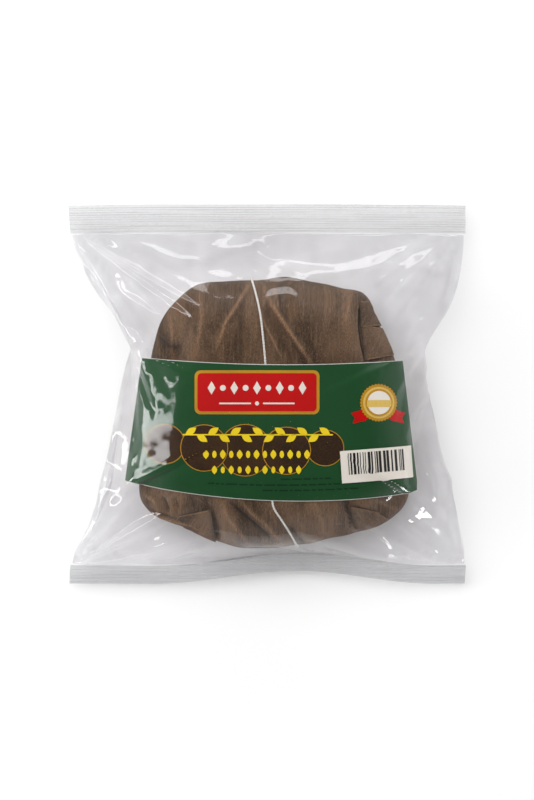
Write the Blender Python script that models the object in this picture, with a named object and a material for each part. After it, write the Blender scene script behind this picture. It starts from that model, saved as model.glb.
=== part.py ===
"""A block of jaggery wrapped in dried leaf and sealed in a clear film bag.

The bag is one closed solid of its true outer form: two sheets of film drawn taut over
the round block, waisted at both sides, and pressed together in a seal at each end.
It lies on its back with the labelled side up.

Units are metres, +X points right across the label, +Y to the top seal and +Z up.
The origin is under the middle of the bag, on the surface that it lies on.
"""

import math

import bmesh
import bpy
import numpy as np

MM = 0.001

# Bag, laid flat on its back
BAG_WIDTH = 180.0 * MM
BAG_LENGTH = 171.6 * MM
TOP_SEAL_DEPTH = 12.6 * MM
SEAL_THICKNESS = 1.0 * MM

# Bottom seal: it tilts down, so it looks narrower, and its middle is drawn in
BOTTOM_SEAL_SPREAD = 8.7 * MM
BOTTOM_SEAL_DROP = 9.0 * MM
ARCH_RISE = 6.0 * MM
ARCH_CENTRE = 0.14
ARCH_HALF_WIDTH = 0.72

# Outline of each side as (distance from the bag's mid line, height up the bag)
LEFT_SIDE = [
    (90.0, -85.8),
    (88.6, -75.5),
    (79.7, -58.4),
    (71.4, -33.0),
    (68.2, -6.5),
    (64.6, 12.8),
    (61.3, 23.5),
    (63.6, 30.0),
    (73.6, 40.0),
    (82.5, 54.0),
    (88.4, 70.0),
    (90.0, 85.8),
]
RIGHT_SIDE = [
    (90.0, -85.8),
    (89.2, -64.0),
    (86.4, -46.3),
    (79.6, -28.0),
    (75.2, -6.5),
    (71.9, 12.0),
    (72.6, 18.0),
    (78.6, 29.0),
    (85.6, 42.0),
    (88.6, 58.6),
    (90.0, 85.8),
]

# Wrapped block: a squarish round cake
BLOCK_CENTRE = (4.0 * MM, -8.5 * MM)
BLOCK_HEIGHT = 48.0 * MM
BLOCK_GIRTH_HEIGHT = 21.0 * MM
CROWN_POWER = 3.4
CROWN_ROUNDNESS = 1.9
BASE_FLAT = 0.74
BASE_ROUNDNESS = 2.0

# Outline of the block from above, in millimetres, from its right side round by the top
BLOCK_OUTLINE = [
    (61.6, -8.0),
    (60.2, 8.0),
    (56.6, 20.0),
    (50.2, 34.0),
    (44.0, 45.4),
    (34.0, 48.6),
    (22.0, 50.8),
    (9.5, 53.4),
    (-6.0, 52.2),
    (-20.0, 51.6),
    (-32.7, 49.2),
    (-40.6, 43.2),
    (-48.0, 33.3),
    (-51.8, 22.0),
    (-54.4, 6.0),
    (-56.4, -14.0),
    (-57.6, -34.0),
    (-56.0, -49.6),
    (-48.0, -55.4),
    (-35.0, -61.0),
    (-25.0, -65.8),
    (-10.9, -69.0),
    (4.0, -69.0),
    (20.0, -67.0),
    (37.3, -63.0),
    (53.0, -57.6),
    (62.0, -50.0),
    (64.6, -42.0),
    (63.4, -26.0),
]

# Paper band over the block: the upper and the lower corner of each end, in millimetres
BAND_LEFT_END = ((-56.1, 16.7), (-63.8, -38.5))
BAND_RIGHT_END = ((60.9, 15.5), (68.0, -43.3))
BAND_END_SHARE = 0.985
BAND_FADE = 3.0 * MM

# Height of the line where the two sheets meet
SEAL_MIDDLE_HEIGHT = 18.0 * MM
SEAL_CORNER_HEIGHT = 11.0 * MM
SIDE_WAIST_HEIGHT = 22.0 * MM
SEAL_WAVE = 0.9 * MM
SEAL_WAVES_ACROSS = 2.5
CORNER_SHARPNESS = 3
SIDE_BLEND = 8.0
CORNER_PINCH = 0.55
CORNER_DROP_SHARE = 0.65

# Creases fade towards both ends, and all of them fade out at the bag's rim
CREASE_FADE_POWER = 0.7
RIM_FADE_POWER = 6

# Creases of the film's shown side: start, end (millimetres), height, half width
CREASES = [
    ((-40, 30), (-86, 70), 4.2, 3.6),
    ((-50, 16), (-80, 48), -3.4, 3.4),
    ((-30, 46), (-64, 73), -3.0, 3.8),
    ((48, 28), (86, 66), 3.8, 3.6),
    ((56, 14), (84, 38), -3.0, 3.4),
    ((36, 47), (66, 73), -2.8, 3.8),
    ((-8, 54), (-28, 74), 2.2, 3.8),
    ((14, 54), (36, 74), 2.2, 3.8),
    ((-42, -44), (-86, -76), 4.2, 3.6),
    ((-56, -32), (-80, -58), -3.2, 3.4),
    ((46, -44), (85, -77), 4.0, 3.6),
    ((60, -32), (84, -56), -3.0, 3.4),
    ((-36, -60), (-10, -76), -2.4, 3.4),
    ((32, -61), (6, -75), -2.4, 3.4),
]

# Leaf pleats that stand out through the taut film, written as creases are
LEAF_PLEATS = [
    ((38, 50), (48, 8), 2.2, 2.8),
    ((16, 54), (2, 24), 1.6, 2.8),
    ((-34, 46), (-22, 20), 1.2, 3.4),
    ((-24, -44), (-6, -68), 2.4, 3.2),
    ((0, -46), (26, -68), 2.2, 3.2),
    ((-56, -44), (-28, -62), 2.0, 3.0),
    ((36, -44), (42, -64), 1.8, 2.8),
]

# Mesh
COLUMNS = 50
FREE_ROWS = 42
SEAL_ROWS = 2
RAY_SAMPLES = 48

FILM_COLOUR = (0.80, 0.81, 0.83, 1.0)
FILM_ROUGHNESS = 0.25


def clear_scene():
    """Remove every object that the file starts with."""
    for item in list(bpy.data.objects):
        bpy.data.objects.remove(item, do_unlink=True)


def film_material():
    """Return the bag's finish."""
    material = bpy.data.materials.new("clear_film")
    material.use_nodes = True
    shader = material.node_tree.nodes["Principled BSDF"]
    shader.inputs["Base Color"].default_value = FILM_COLOUR
    shader.inputs["Roughness"].default_value = FILM_ROUGHNESS
    shader.inputs["Metallic"].default_value = 0.0
    return material


def smooth_curve(knots, values, at):
    """Return the value at each place of a smooth curve through values at rising knots."""
    slopes = np.gradient(values, knots)
    at = np.clip(at, knots[0], knots[-1])
    index = np.clip(np.searchsorted(knots, at) - 1, 0, len(knots) - 2)
    step = knots[index + 1] - knots[index]
    part = (at - knots[index]) / step
    rest = 1.0 - part
    start = rest * rest * (1.0 + 2.0 * part)
    end = part * part * (3.0 - 2.0 * part)
    start_slope = part * rest * rest * step
    end_slope = -part * part * rest * step
    curve = start * values[index] + end * values[index + 1]
    return curve + start_slope * slopes[index] + end_slope * slopes[index + 1]


def smooth_through(points, at):
    """Return the value at each height of a smooth curve through (value, height) points."""
    values = np.array([point[0] for point in points]) * MM
    heights = np.array([point[1] for point in points]) * MM
    return smooth_curve(heights, values, at)


def ramp(value):
    """Return a soft step from 0 at 0 to 1 at 1."""
    share = np.clip(value, 0.0, 1.0)
    return share * share * (3.0 - 2.0 * share)


def bottom_arch(across):
    """Return how far the bottom seal is drawn in, for a place from -1 to 1 across."""
    offset = np.clip((across - ARCH_CENTRE) / ARCH_HALF_WIDTH, -1.0, 1.0)
    return ARCH_RISE * np.cos(0.5 * math.pi * offset) ** 2


def free_ends(across):
    """Return the heights up the bag where the free film starts and ends."""
    bottom = -0.5 * BAG_LENGTH + BOTTOM_SEAL_SPREAD + bottom_arch(across)
    top = 0.5 * BAG_LENGTH - TOP_SEAL_DEPTH
    return bottom, top


def place(across, along):
    """Return x and y of a place in the bag.

    across runs from -1 at the left side to 1 at the right side. along runs from -1 to 1
    over the free film, and past these by up to 1 more over each seal.
    """
    bottom, top = free_ends(across)
    share = 0.5 * (np.clip(along, -1.0, 1.0) + 1.0)
    y = bottom + (top - bottom) * share
    y = y - np.clip(-1.0 - along, 0.0, 1.0) * BOTTOM_SEAL_SPREAD
    y = y + np.clip(along - 1.0, 0.0, 1.0) * TOP_SEAL_DEPTH
    left = -smooth_through(LEFT_SIDE, y)
    right = smooth_through(RIGHT_SIDE, y)
    x = left + (right - left) * 0.5 * (across + 1.0)
    return x, y


def rim_height(across, along):
    """Return the height of the line where the sheets meet, at a place on the rim."""
    corner = np.abs(across) ** CORNER_SHARPNESS
    seal = SEAL_MIDDLE_HEIGHT + (SEAL_CORNER_HEIGHT - SEAL_MIDDLE_HEIGHT) * corner
    wave = np.sin(SEAL_WAVES_ACROSS * math.pi * across) * np.sign(along)
    seal = seal + SEAL_WAVE * wave * (1.0 - corner)
    side = SIDE_WAIST_HEIGHT + (SEAL_CORNER_HEIGHT - SIDE_WAIST_HEIGHT) * along * along
    on_side = np.clip((np.abs(across) - np.abs(along)) * SIDE_BLEND + 0.5, 0.0, 1.0)
    return seal + (side - seal) * on_side


def outline_radius(dx, dy):
    """Return the block's own radius in the direction of each offset from its centre."""
    x = np.array([point[0] for point in BLOCK_OUTLINE]) * MM - BLOCK_CENTRE[0]
    y = np.array([point[1] for point in BLOCK_OUTLINE]) * MM - BLOCK_CENTRE[1]
    angles = np.unwrap(np.arctan2(y, x))
    radii = np.hypot(x, y)
    turn = 2.0 * math.pi
    angles = np.concatenate([angles[-2:] - turn, angles, angles[:3] + turn])
    radii = np.concatenate([radii[-2:], radii, radii[:3]])
    asked = np.arctan2(dy, dx)
    return smooth_curve(angles, radii, np.where(asked < angles[2], asked + turn, asked))


def block_reach(x, y):
    """Return the radius of block and band in the direction of a place, and the place's radius."""
    dx = x - BLOCK_CENTRE[0]
    dy = y - BLOCK_CENTRE[1]
    radius = np.maximum(np.hypot(dx, dy), 1e-6)
    plain = outline_radius(dx, dy)
    rim_y = BLOCK_CENTRE[1] + plain * dy / radius
    (left_top, left_low), (right_top, right_low) = BAND_LEFT_END, BAND_RIGHT_END
    on_left = dx < 0.0
    top = np.where(on_left, left_top[1], right_top[1]) * MM
    low = np.where(on_left, left_low[1], right_low[1]) * MM
    down = np.clip((top - rim_y) / (top - low), 0.0, 1.0)
    left_x = left_top[0] + (left_low[0] - left_top[0]) * down
    right_x = right_top[0] + (right_low[0] - right_top[0]) * down
    end = np.abs(np.where(on_left, left_x, right_x) * MM - BLOCK_CENTRE[0])
    sideways = np.maximum(np.abs(dx) / radius, 1e-6)
    wanted = end / BAND_END_SHARE / sideways
    inside = ramp((top + BAND_FADE - rim_y) / BAND_FADE) * ramp((rim_y - low + BAND_FADE) / BAND_FADE)
    inside = inside * ramp((sideways - 0.6) / 0.2)
    return plain + np.maximum(wanted - plain, 0.0) * inside, radius


def crown(share):
    """Return the block's upper surface at a share of its radius."""
    fall = np.clip(1.0 - share**CROWN_POWER, 0.0, 1.0) ** (1.0 / CROWN_ROUNDNESS)
    return BLOCK_GIRTH_HEIGHT + (BLOCK_HEIGHT - BLOCK_GIRTH_HEIGHT) * fall


def base(share):
    """Return the block's lower surface at a share of its radius."""
    bend = np.clip((share - BASE_FLAT) / (1.0 - BASE_FLAT), 0.0, 1.0)
    curve = 1.0 - np.sqrt(np.clip(1.0 - bend**BASE_ROUNDNESS, 0.0, 1.0))
    return BLOCK_GIRTH_HEIGHT * curve


def taut_height(block_radius, radius, rim_radius, rim, pinch, surface, side):
    """Return the height of film drawn over one side of the block.

    Along a line from the block's centre to the bag's rim the film lies on the block as
    far as the point where the line to the rim touches it, and is free from there on.
    surface is crown or base, and side is 1 over the block and -1 under it.
    """
    shares = np.linspace(0.0, 1.0, RAY_SAMPLES)
    heights = surface(shares)
    reach = np.outer(block_radius, shares)
    gap = np.maximum(rim_radius[:, None] - reach, 1e-6)
    slopes = side * (heights[None, :] - rim[:, None]) / gap
    touch = np.argmax(slopes, axis=1)
    touch_radius = reach[np.arange(len(touch)), touch]
    touch_height = heights[touch]
    free = np.clip((rim_radius - radius) / np.maximum(rim_radius - touch_radius, 1e-6), 0.0, 1.0)
    film = rim + (touch_height - rim) * free ** (1.0 + pinch)
    resting = surface(np.clip(radius / block_radius, 0.0, 1.0))
    return np.where(radius < touch_radius, resting, film)


def crease_height(x, y, creases):
    """Return the height that a list of creases adds at each place."""
    added = np.zeros_like(x)
    for (start_x, start_y), (end_x, end_y), height, half_width in creases:
        run_x = (end_x - start_x) * MM
        run_y = (end_y - start_y) * MM
        length = math.hypot(run_x, run_y)
        from_x = x - start_x * MM
        from_y = y - start_y * MM
        along = (from_x * run_x + from_y * run_y) / (length * length)
        beside = np.abs(from_x * run_y - from_y * run_x) / length
        fade = np.sin(math.pi * np.clip(along, 0.0, 1.0)) ** CREASE_FADE_POWER
        added = added + height * MM * fade * np.exp(-((beside / (half_width * MM)) ** 2))
    return added


def shape_vertices(grid_across, grid_along):
    """Return x, y, top height and bottom height at each place of the bag."""
    x, y = place(grid_across, grid_along)
    centre_across = BLOCK_CENTRE[0] / (0.5 * BAG_WIDTH)
    bottom, top = free_ends(np.array(centre_across))
    centre_along = 2.0 * (BLOCK_CENTRE[1] - bottom) / (top - bottom) - 1.0
    free_along = np.clip(grid_along, -1.0, 1.0)
    across = grid_across - centre_across
    across = across / np.where(across > 0.0, 1.0 - centre_across, 1.0 + centre_across)
    along = free_along - centre_along
    along = along / np.where(along > 0.0, 1.0 - centre_along, 1.0 + centre_along)
    outward = np.maximum(np.maximum(np.abs(across), np.abs(along)), 1e-6)
    rim_across = centre_across + (grid_across - centre_across) / outward
    rim_along = centre_along + (free_along - centre_along) / outward
    rim_x, rim_y = place(rim_across, rim_along)
    rim = rim_height(rim_across, rim_along)
    block_radius, radius = block_reach(x, y)
    rim_radius = np.hypot(rim_x - BLOCK_CENTRE[0], rim_y - BLOCK_CENTRE[1])
    pinch = CORNER_PINCH * (np.abs(across * along) / (outward * outward)) ** 2
    upper = taut_height(block_radius, radius, rim_radius, rim, pinch, crown, 1.0)
    lower = taut_height(block_radius, radius, rim_radius, rim, pinch, base, -1.0)
    inside = 1.0 - outward**RIM_FADE_POWER
    upper = upper + inside * (crease_height(x, y, CREASES) + crease_height(x, y, LEAF_PLEATS))
    share = np.clip(radius / block_radius, 0.0, 1.0)
    upper = np.maximum(upper, np.where(share < 1.0, crown(share), 0.0))
    corner = np.abs(grid_across) ** CORNER_SHARPNESS
    droop = np.clip(-1.0 - grid_along, 0.0, 1.0) * BOTTOM_SEAL_DROP
    droop = droop * (1.0 + (CORNER_DROP_SHARE - 1.0) * corner)
    top_height = np.maximum(upper, lower) + 0.5 * SEAL_THICKNESS - droop
    bottom_height = np.maximum(lower - 0.5 * SEAL_THICKNESS, 0.0) - droop
    return x, y, top_height, np.maximum(bottom_height, 0.0)


def row_places():
    """Return the places of the mesh rows, with whole rows along both seals' inner edges."""
    free = np.linspace(-1.0, 1.0, FREE_ROWS + 1)
    seal = np.linspace(0.0, 1.0, SEAL_ROWS + 1)[1:]
    return np.concatenate([-1.0 - seal[::-1], free, 1.0 + seal])


def make_bag(collection):
    """Model the bag as a grid, thickened to two sheets that meet along the rim."""
    rows = row_places()
    mesh = bpy.data.meshes.new("bag")
    work = bmesh.new()
    bmesh.ops.create_grid(work, x_segments=COLUMNS, y_segments=len(rows) - 1, size=1.0)
    lower_sheet = list(work.verts)
    row_index = [round((vert.co.y + 1.0) * 0.5 * (len(rows) - 1)) for vert in lower_sheet]
    grid_across = np.array([vert.co.x for vert in lower_sheet])
    grid_along = np.array([rows[index] for index in row_index])
    raised = bmesh.ops.extrude_face_region(work, geom=list(work.faces))["geom"]
    upper_sheet = [item for item in raised if isinstance(item, bmesh.types.BMVert)]
    twins = {(round(vert.co.x, 5), round(vert.co.y, 5)): vert for vert in upper_sheet}
    x, y, top_height, bottom_height = shape_vertices(grid_across, grid_along)
    for index, vert in enumerate(lower_sheet):
        twin = twins[(round(vert.co.x, 5), round(vert.co.y, 5))]
        vert.co = (x[index], y[index], bottom_height[index])
        twin.co = (x[index], y[index], top_height[index])
    bmesh.ops.recalc_face_normals(work, faces=list(work.faces))
    work.to_mesh(mesh)
    work.free()
    mesh.shade_smooth()
    mesh.materials.append(film_material())
    bag = bpy.data.objects.new("bag", mesh)
    collection.objects.link(bag)
    return bag


def main():
    """Build the packed block."""
    clear_scene()
    collection = bpy.data.collections.new("packed_jaggery_block")
    bpy.context.scene.collection.children.link(collection)
    make_bag(collection)


main()
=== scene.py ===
"""The looks of a leaf-wrapped block of jaggery, sealed in a clear film bag.

The bag lies on its back with the labelled side up and the camera looks down on it.
Everything is in metres: +X right across the label, +Y to the top seal, +Z up.
"""

import logging
import math
from dataclasses import dataclass, field
from enum import Enum

import bpy
import numpy as np
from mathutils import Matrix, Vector


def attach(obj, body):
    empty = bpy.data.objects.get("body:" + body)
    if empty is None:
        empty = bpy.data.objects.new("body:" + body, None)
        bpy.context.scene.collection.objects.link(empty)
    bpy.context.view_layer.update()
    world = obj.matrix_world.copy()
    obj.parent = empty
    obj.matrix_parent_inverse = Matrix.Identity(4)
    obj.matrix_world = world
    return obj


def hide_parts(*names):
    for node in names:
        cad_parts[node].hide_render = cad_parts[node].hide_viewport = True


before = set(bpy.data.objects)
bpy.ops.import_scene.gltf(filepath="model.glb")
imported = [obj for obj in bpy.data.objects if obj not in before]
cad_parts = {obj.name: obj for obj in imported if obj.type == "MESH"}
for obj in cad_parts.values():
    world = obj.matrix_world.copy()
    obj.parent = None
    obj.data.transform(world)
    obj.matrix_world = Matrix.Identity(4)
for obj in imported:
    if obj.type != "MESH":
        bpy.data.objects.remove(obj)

LOG = logging.getLogger("packed_jaggery_block")

MM = 0.001
BODY = "root"
CAD_NODE = "bag"
PICTURE_HEIGHT = 800
PIXEL_SIZE = 0.45 * MM
RIM_SHARE = 0.9999

Triple = tuple[float, float, float]
Colour = Triple
Point = tuple[float, float]


class Sheet(Enum):
    """The two layers of the film bag."""

    FRONT = 1.0
    BACK = -1.0


class SealEnd(Enum):
    """The two sealed ends of the bag."""

    TOP = 1.0
    BOTTOM = -1.0


class FoldKind(Enum):
    """How a fold in the leaf stands to what lies beside it."""

    RIDGE = 1
    VALLEY = 2
    STEP = 3


def smooth_step(value: np.ndarray) -> np.ndarray:
    """Return a soft ramp from 0 at 0 to 1 at 1."""
    ramp = np.clip(value, 0.0, 1.0)
    return ramp * ramp * (3.0 - 2.0 * ramp)


def hermite(knots: np.ndarray, values: np.ndarray, slopes: np.ndarray,
            at: np.ndarray) -> np.ndarray:
    """Read a smooth curve through knots.

    Args:
        knots: Where the values hold, in rising order.
        values: The curve's value at each knot.
        slopes: The curve's slope at each knot.
        at: Where to read the curve.

    Returns:
        The curve's value at each place asked for.
    """
    at = np.clip(at, knots[0], knots[-1])
    index = np.clip(np.searchsorted(knots, at) - 1, 0, len(knots) - 2)
    step = knots[index + 1] - knots[index]
    part = (at - knots[index]) / step
    rest = 1.0 - part
    curve = rest * rest * (1.0 + 2.0 * part) * values[index]
    curve = curve + part * part * (3.0 - 2.0 * part) * values[index + 1]
    curve = curve + part * rest * rest * step * slopes[index]
    return curve - part * part * rest * step * slopes[index + 1]


def through_points(points: tuple[Point, ...], at: np.ndarray) -> np.ndarray:
    """Read a smooth curve given as (value, height) points in millimetres.

    Args:
        points: The curve's points, by rising height.
        at: Heights in metres.

    Returns:
        The values in metres.
    """
    values = np.array([point[0] for point in points]) * MM
    heights = np.array([point[1] for point in points]) * MM
    return hermite(heights, values, np.gradient(values, heights), at)


def select_only(piece: bpy.types.Object) -> None:
    """Make a piece the only selected object and the active one."""
    bpy.ops.object.select_all(action="DESELECT")
    piece.select_set(True)
    bpy.context.view_layer.objects.active = piece


def read_points(mesh: bpy.types.Mesh) -> np.ndarray:
    """Return the mesh's vertex places as rows of x, y and z."""
    flat = np.empty(len(mesh.vertices) * 3)
    mesh.vertices.foreach_get("co", flat)
    return flat.reshape(-1, 3)


def write_points(mesh: bpy.types.Mesh, points: np.ndarray) -> None:
    """Move the mesh's vertices to the places given as rows of x, y and z."""
    mesh.vertices.foreach_set("co", np.ascontiguousarray(points).ravel())
    mesh.update()


def write_attribute(mesh: bpy.types.Mesh, name: str, values: np.ndarray) -> None:
    """Store one number for each vertex, for a material to read by name."""
    layer = mesh.attributes.new(name=name, type="FLOAT", domain="POINT")
    layer.data.foreach_set("value", np.ascontiguousarray(values, dtype=np.float32))


def write_vector_attribute(mesh: bpy.types.Mesh, name: str, values: np.ndarray) -> None:
    """Store three numbers for each vertex, for a material to read by name."""
    layer = mesh.attributes.new(name=name, type="FLOAT_VECTOR", domain="POINT")
    layer.data.foreach_set("vector", np.ascontiguousarray(values, dtype=np.float32).ravel())


def add_grid(name: str, columns: int, rows: int) -> bpy.types.Object:
    """Add a flat grid from -1 to 1 both ways.

    Args:
        name: The new piece's name.
        columns: How many faces it has along X.
        rows: How many faces it has along Y.

    Returns:
        The new object.
    """
    bpy.ops.object.select_all(action="DESELECT")
    bpy.ops.mesh.primitive_grid_add(x_subdivisions=columns, y_subdivisions=rows, size=2.0)
    piece = bpy.context.object
    piece.name = name
    piece.data.name = name
    return piece


def apply_modifier(piece: bpy.types.Object, kind: str, **settings: object) -> None:
    """Add a modifier of a kind to a piece with these settings, and apply it."""
    select_only(piece)
    modifier = piece.modifiers.new(kind.lower(), kind)
    for key, value in settings.items():
        setattr(modifier, key, value)
    bpy.ops.object.modifier_apply(modifier=modifier.name)


def thicken(piece: bpy.types.Object, thickness: float, offset: float = 0.0) -> None:
    """Give a sheet a wall of this thickness, applied to its mesh."""
    apply_modifier(piece, "SOLIDIFY", thickness=thickness, offset=offset)


def round_off(piece: bpy.types.Object, levels: int = 1) -> None:
    """Subdivide a piece smoothly, applied to its mesh."""
    apply_modifier(piece, "SUBSURF", levels=levels, render_levels=levels)


def shade_smooth(piece: bpy.types.Object, angle: float = math.radians(50.0)) -> None:
    """Shade a piece smooth where its faces meet at less than an angle."""
    select_only(piece)
    bpy.ops.object.shade_smooth_by_angle(angle=angle)


def face_outwards(piece: bpy.types.Object) -> None:
    """Turn all faces of a closed piece to point out."""
    select_only(piece)
    bpy.ops.object.mode_set(mode="EDIT")
    bpy.ops.mesh.select_all(action="SELECT")
    bpy.ops.mesh.normals_make_consistent(inside=False)
    bpy.ops.object.mode_set(mode="OBJECT")


def join_pieces(pieces: list[bpy.types.Object], name: str) -> bpy.types.Object:
    """Join pieces into the first of them and give it a name."""
    select_only(pieces[0])
    if len(pieces) > 1:
        for piece in pieces:
            piece.select_set(True)
        bpy.ops.object.join()
    pieces[0].name = name
    pieces[0].data.name = name
    return pieces[0]


def hand_over(piece: bpy.types.Object) -> None:
    """Register a finished piece with the frame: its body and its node."""
    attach(piece, BODY)
    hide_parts(CAD_NODE)
    LOG.info("built %s with %d faces", piece.name, len(piece.data.polygons))


class NodeSketch:
    """A small helper that lays out one material's nodes."""

    def __init__(self, name: str) -> None:
        """Start an empty material with an output."""
        self.material = bpy.data.materials.new(name)
        self.material.use_nodes = True
        self.tree = self.material.node_tree
        self.tree.nodes.clear()
        self.output = self.tree.nodes.new("ShaderNodeOutputMaterial")

    def node(self, kind: str, **values: object) -> bpy.types.Node:
        """Add a node.

        Args:
            kind: The node's type name after ShaderNode.
            **values: Properties of the node, or values and links for its inputs. An
                input is named by its label with _ for each space.

        Returns:
            The new node.
        """
        made = self.tree.nodes.new("ShaderNode" + kind)
        for key, value in values.items():
            if hasattr(made, key) and not isinstance(value, bpy.types.NodeSocket):
                setattr(made, key, value)
                continue
            socket = self.socket(made, key)
            if isinstance(value, bpy.types.NodeSocket):
                self.tree.links.new(value, socket)
            else:
                socket.default_value = value
        return made

    @staticmethod
    def socket(node: bpy.types.Node, key: str) -> bpy.types.NodeSocket:
        """Return the input that a key names: its label with _ for spaces, or in and a number."""
        if key.startswith("in") and key[2:].isdigit():
            return node.inputs[int(key[2:])]
        return node.inputs[key.replace("_", " ")]

    def math(self, operation: str, first: object, second: object = 0.5) -> bpy.types.NodeSocket:
        """Return the result of a Math node on two sockets or numbers."""
        return self.node("Math", operation=operation, in0=first, in1=second).outputs[0]

    def scaled(self, vector: bpy.types.NodeSocket, stretch: Triple) -> bpy.types.NodeSocket:
        """Return a vector multiplied by a factor for each axis."""
        return self.node("Mapping", Vector=vector, Scale=stretch).outputs["Vector"]

    def coordinates(self, stretch: Triple = (1.0, 1.0, 1.0)) -> bpy.types.NodeSocket:
        """Return Object coordinates, multiplied by a factor for each axis."""
        return self.scaled(self.node("TexCoord").outputs["Object"], stretch)

    def noise(self, vector: bpy.types.NodeSocket, scale: float, detail: float = 4.0,
              roughness: float = 0.55, distortion: float = 0.0) -> bpy.types.NodeSocket:
        """Return a noise value over a vector."""
        made = self.node("TexNoise", Vector=vector, Scale=scale, Detail=detail,
                         Roughness=roughness, Distortion=distortion)
        return made.outputs[0]

    def ramp(self, value: bpy.types.NodeSocket, low: float, high: float) -> bpy.types.NodeSocket:
        """Return 0 below low, 1 above high and a soft step between them."""
        made = self.node("MapRange", interpolation_type="SMOOTHSTEP", Value=value,
                         From_Min=low, From_Max=high)
        return made.outputs[0]

    def blend(self, share: object, first: object, second: object,
              mode: str = "MIX") -> bpy.types.NodeSocket:
        """Return one colour blended over another by a share."""
        made = self.node("Mix", data_type="RGBA", blend_type=mode)
        for socket, value in zip((made.inputs[0], made.inputs[6], made.inputs[7]),
                                 (share, first, second)):
            if isinstance(value, bpy.types.NodeSocket):
                self.tree.links.new(value, socket)
            elif isinstance(value, tuple):
                socket.default_value = (*value[:3], 1.0)
            else:
                socket.default_value = value
        return made.outputs[2]

    def attribute(self, name: str) -> bpy.types.Node:
        """Return a node that reads a mesh attribute."""
        return self.node("Attribute", attribute_name=name)

    def bump(self, height: bpy.types.NodeSocket, distance: float,
             strength: float = 1.0) -> bpy.types.NodeSocket:
        """Return a normal bent by a height."""
        made = self.node("Bump", Height=height, Distance=distance, Strength=strength)
        return made.outputs[0]

    def mirror_share(self, normal: bpy.types.NodeSocket, head_on: float, rise: float,
                     most: float) -> bpy.types.NodeSocket:
        """Return how much a thin film mirrors, alike on both of its faces.

        Args:
            normal: The film's normal.
            head_on: The share seen head on.
            rise: The power by which it grows as the film turns away.
            most: The share at a grazing angle.

        Returns:
            The share of light that the film mirrors.
        """
        turned = self.node("LayerWeight", Blend=0.5, Normal=normal).outputs["Facing"]
        grown = self.math("MULTIPLY", self.math("POWER", turned, rise), most - head_on)
        return self.math("ADD", grown, head_on)

    def see_through(self, tone: object, haze: object, haze_colour: Colour, roughness: float,
                    normal: bpy.types.NodeSocket,
                    mirror: bpy.types.NodeSocket) -> bpy.types.NodeSocket:
        """Return the shader of thin see-through film.

        Args:
            tone: The colour that the film lets through.
            haze: The share of light that its cloudiness scatters.
            haze_colour: The colour of that cloudiness.
            roughness: How rough its mirroring is.
            normal: The film's normal.
            mirror: The share of light that the film mirrors.

        Returns:
            The film's shader.
        """
        clear = self.node("BsdfTransparent", Color=tone).outputs[0]
        gloss = self.node("BsdfAnisotropic", Color=(1.0, 1.0, 1.0, 1.0), Roughness=roughness,
                          Normal=normal).outputs[0]
        cloud = self.node("BsdfDiffuse", Color=(*haze_colour, 1.0)).outputs[0]
        hazed = self.node("MixShader", in0=haze, in1=clear, in2=cloud).outputs[0]
        return self.node("MixShader", in0=mirror, in1=hazed, in2=gloss).outputs[0]

    def finish(self, shader: bpy.types.NodeSocket) -> bpy.types.Material:
        """Link a shader to the output and return the material."""
        self.tree.links.new(shader, self.output.inputs["Surface"])
        return self.material


@dataclass(frozen=True)
class FilmFinish:
    """Clear glossy film, one surface for its two faces."""

    tint: Colour = (0.965, 0.962, 0.970)
    # The greyer tint of the free film, which also paints shade on the crease facets that lean one
    # way.
    grey_and_shade_tint: Colour = (0.865, 0.86, 0.87)
    head_on: float = 0.04
    rise: float = 3.2
    most: float = 0.7
    roughness: float = 0.09
    haze: float = 0.003
    haze_colour: Colour = (0.86, 0.87, 0.9)
    crinkle_scale: float = 110.0
    crinkle_depth: float = 0.00012

    def material(self, name: str) -> bpy.types.Material:
        """Return the film's material, greyer where its grey attribute tells: the free film's plain
        grey with painted shade on the crease facets that lean one way.
        """
        sketch = NodeSketch(name)
        crinkle = sketch.noise(sketch.coordinates(), self.crinkle_scale, detail=2.0, roughness=0.45)
        normal = sketch.bump(crinkle, self.crinkle_depth)
        grey_and_facet_shade = sketch.attribute("grey_and_facet_shade").outputs["Fac"]
        # Free film takes the greyer tint: its plain grey, and painted shade on crease facets that
        # lean one way.
        tone = sketch.blend(grey_and_facet_shade, self.tint, self.grey_and_shade_tint)
        mirror = sketch.mirror_share(normal, self.head_on, self.rise, self.most)
        return sketch.finish(sketch.see_through(
            tone, self.haze, self.haze_colour, self.roughness, normal, mirror))


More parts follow.
